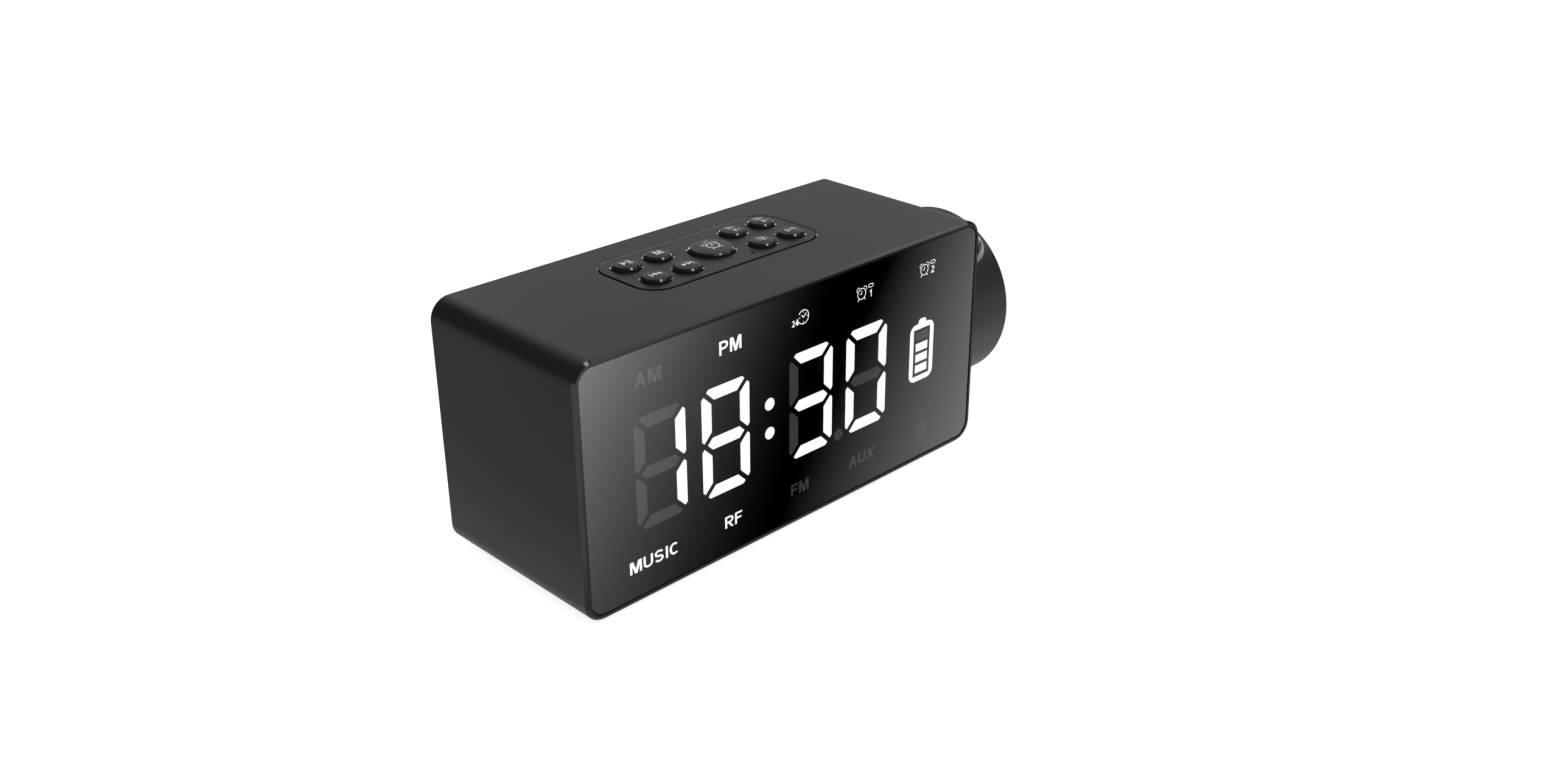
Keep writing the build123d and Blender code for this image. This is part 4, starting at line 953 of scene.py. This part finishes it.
# Painted reflection on the floor that only glossy rays see, in metres: dark along one line, paler away
# from it on both sides
paintedReflection = {
    "point": (-0.015, -0.040), "across": (0.616, 0.788), "lean": 0.085,
    "leftReach": 0.09, "leftLevel": 1.0, "leftPower": 1.95,
    "rightReach": 0.06, "rightLevel": 0.79, "rightPower": 1.35,
    "front": -0.038,
    "sideNear": -0.105, "sideNearLevel": 0.57, "sideFar": -0.135, "sideFarLevel": 0.3,
    "behind": 0.25, "behindWay": (1, 1), "behindLevel": 0.03,
    "farWay": (0.7, -0.7), "farStart": 0.32, "farEnd": 0.5, "farLevel": 0.5,
}


def makePaintedReflectionLevel(tree, place):
    # The level of the painted reflection that glossy rays find on the floor
    along = (-paintedReflection["across"][1], paintedReflection["across"][0])
    start = sum(a * b for a, b in zip(paintedReflection["point"], paintedReflection["across"]))
    startAlong = sum(a * b for a, b in zip(paintedReflection["point"], along))
    leanedStart = start + startAlong * paintedReflection["lean"]
    flat = addNode(tree, "ShaderNodeSeparateXYZ", inputs={"Vector": place}).outputs
    reaches = []
    for way in (paintedReflection["across"], along, paintedReflection["behindWay"], paintedReflection["farWay"]):
        values = {0: place, 1: (*way, 0)}
        reach = addNode(tree, "ShaderNodeVectorMath", {"operation": "DOT_PRODUCT"}, values)
        reaches.append(reach.outputs["Value"])
    leaned = addNode(
        tree,
        "ShaderNodeMath",
        {"operation": "MULTIPLY_ADD"},
        {0: reaches[1], 1: paintedReflection["lean"], 2: reaches[0]},
    ).outputs["Value"]
    fades = []
    for distance, fromMin, fromMax, toMin, toMax in (
        (reaches[0], start, start - paintedReflection["leftReach"], 0, 1),
        (leaned, leanedStart, leanedStart + paintedReflection["rightReach"], 0, 1),
        (flat["X"], paintedReflection["sideFar"], paintedReflection["sideNear"], paintedReflection["sideFarLevel"], paintedReflection["sideNearLevel"]),
        (reaches[3], paintedReflection["farStart"], paintedReflection["farEnd"], 0, paintedReflection["farLevel"]),
    ):
        ends = {"From Min": fromMin, "From Max": fromMax, "To Min": toMin, "To Max": toMax}
        fade = addNode(tree, "ShaderNodeMapRange", inputs={"Value": distance, **ends})
        fades.append(fade.outputs["Result"])
    left, right, side, level = fades
    for fade, power, most in (
        (left, paintedReflection["leftPower"], paintedReflection["leftLevel"]),
        (right, paintedReflection["rightPower"], paintedReflection["rightLevel"]),
    ):
        curved = addNode(tree, "ShaderNodeMath", {"operation": "POWER"}, {0: fade, 1: power})
        values = {0: curved.outputs["Value"], 1: most, 2: level}
        total = addNode(tree, "ShaderNodeMath", {"operation": "MULTIPLY_ADD"}, values)
        level = total.outputs["Value"]
    for distance, edge, further in (
        (flat["Y"], paintedReflection["front"], side),
        (reaches[2], paintedReflection["behind"], paintedReflection["behindLevel"]),
    ):
        past = addNode(tree, "ShaderNodeMath", {"operation": "GREATER_THAN"}, {0: distance, 1: edge})
        values = {0: past.outputs["Value"], 2: level, 3: further}
        level = addNode(tree, "ShaderNodeMix", inputs=values).outputs[0]
    return level


def makeFloor():
    bm = bmesh.new()
    bmesh.ops.create_grid(bm, x_segments=1, y_segments=1, size=studio["floorSize"] / 2)
    mesh = bpy.data.meshes.new("floor")
    bm.to_mesh(mesh)
    bm.free()
    floor = bpy.data.objects.new("floor", mesh)
    scene.collection.objects.link(floor)
    material, tree, shader, place = startMaterial("paleFloor")
    rays = addNode(tree, "ShaderNodeLightPath")
    lift = addNode(
        tree,
        "ShaderNodeMath",
        {"operation": "MULTIPLY"},
        {0: rays.outputs["Is Camera Ray"], 1: studio["floorLift"]},
    ).outputs["Value"]
    shader.inputs["Base Color"].default_value = linear(studio["floorColour"])
    shader.inputs["Roughness"].default_value = studio["floorRoughness"]
    shader.inputs["Specular IOR Level"].default_value = 0.0
    shader.inputs["Emission Color"].default_value = linear("#ffffff")
    tree.links.new(lift, shader.inputs["Emission Strength"])
    # Glossy rays see this painted reflection instead of the lit floor
    level = makePaintedReflectionLevel(tree, place)
    mirrored = addNode(
        tree,
        "ShaderNodeEmission",
        inputs={"Color": linear(studio["mirroredColour"]), "Strength": level},
    ).outputs["Emission"]
    mix = addNode(
        tree,
        "ShaderNodeMixShader",
        inputs={0: rays.outputs["Is Glossy Ray"], 1: shader.outputs["BSDF"], 2: mirrored},
    ).outputs["Shader"]
    output = next(node for node in tree.nodes if node.type == "OUTPUT_MATERIAL")
    tree.links.new(mix, output.inputs["Surface"])
    mesh.materials.append(material)


def makeWorld():
    world = bpy.data.worlds.new("studioWorld")
    scene.world = world
    world.use_nodes = True
    tree = world.node_tree
    tree.nodes.clear()
    rays = addNode(tree, "ShaderNodeLightPath").outputs
    direction = addNode(tree, "ShaderNodeTexCoord").outputs["Generated"]
    level = studio["reflectedDark"]
    for card in studio["cards"].values():
        towards = Vector(card["towards"]).normalized()
        nearness = addNode(
            tree, "ShaderNodeVectorMath", {"operation": "DOT_PRODUCT"}, {0: direction, 1: towards}
        ).outputs["Value"]
        glow = addNode(
            tree,
            "ShaderNodeMapRange",
            {"interpolation_type": "SMOOTHSTEP"},
            {
                "Value": nearness,
                "From Min": cos(radians(card["gone"])),
                "From Max": cos(radians(card["full"])),
                "To Min": 0,
                "To Max": card["level"],
            },
        ).outputs["Result"]
        total = addNode(tree, "ShaderNodeMath", {"operation": "ADD"}, {0: glow, 1: level})
        level = total.outputs["Value"]
    mirrored = addNode(
        tree, "ShaderNodeMix", inputs={0: rays["Is Glossy Ray"], 2: studio["worldLight"], 3: level}
    ).outputs[0]
    strength = addNode(
        tree, "ShaderNodeMix", inputs={0: rays["Is Camera Ray"], 2: mirrored, 3: 1.0}
    ).outputs[0]
    sky = addNode(
        tree, "ShaderNodeBackground", inputs={"Color": linear("#ffffff"), "Strength": strength}
    ).outputs["Background"]
    addNode(tree, "ShaderNodeOutputWorld", inputs={"Surface": sky})


def makeLamps():
    for name, lamp in studio["lamps"].items():
        light = bpy.data.lights.new(name, "AREA")
        light.shape = "RECTANGLE"
        light.size, light.size_y = lamp["size"]
        light.energy = lamp["radiance"] * pi * light.size * light.size_y
        holder = bpy.data.objects.new(name, light)
        towards = Vector(lamp["towards"]).normalized()
        holder.location = Vector(studio["aim"]) + towards * lamp["away"]
        holder.rotation_euler = towards.to_track_quat("Z", "Y").to_euler()
        scene.collection.objects.link(holder)


cameraSetup = {
    "place": (-0.31995, -0.33585, 0.2526), "azimuth": -45, "elevation": 25,
    "lens": 35, "sensor": 36, "nearest": 0.01,
}


def makeCamera():
    camera = bpy.data.cameras.new("camera")
    camera.lens = cameraSetup["lens"]
    camera.sensor_width = cameraSetup["sensor"]
    camera.clip_start = cameraSetup["nearest"]
    holder = bpy.data.objects.new("camera", camera)
    holder.location = cameraSetup["place"]
    tilt, turn = radians(90 - cameraSetup["elevation"]), radians(cameraSetup["azimuth"])
    holder.rotation_euler = (tilt, 0, turn)
    scene.collection.objects.link(holder)
    scene.camera = holder


makeFloor()
makeWorld()
makeLamps()
makeCamera()
scene.view_settings.view_transform = "Standard"
print("studio and camera made")
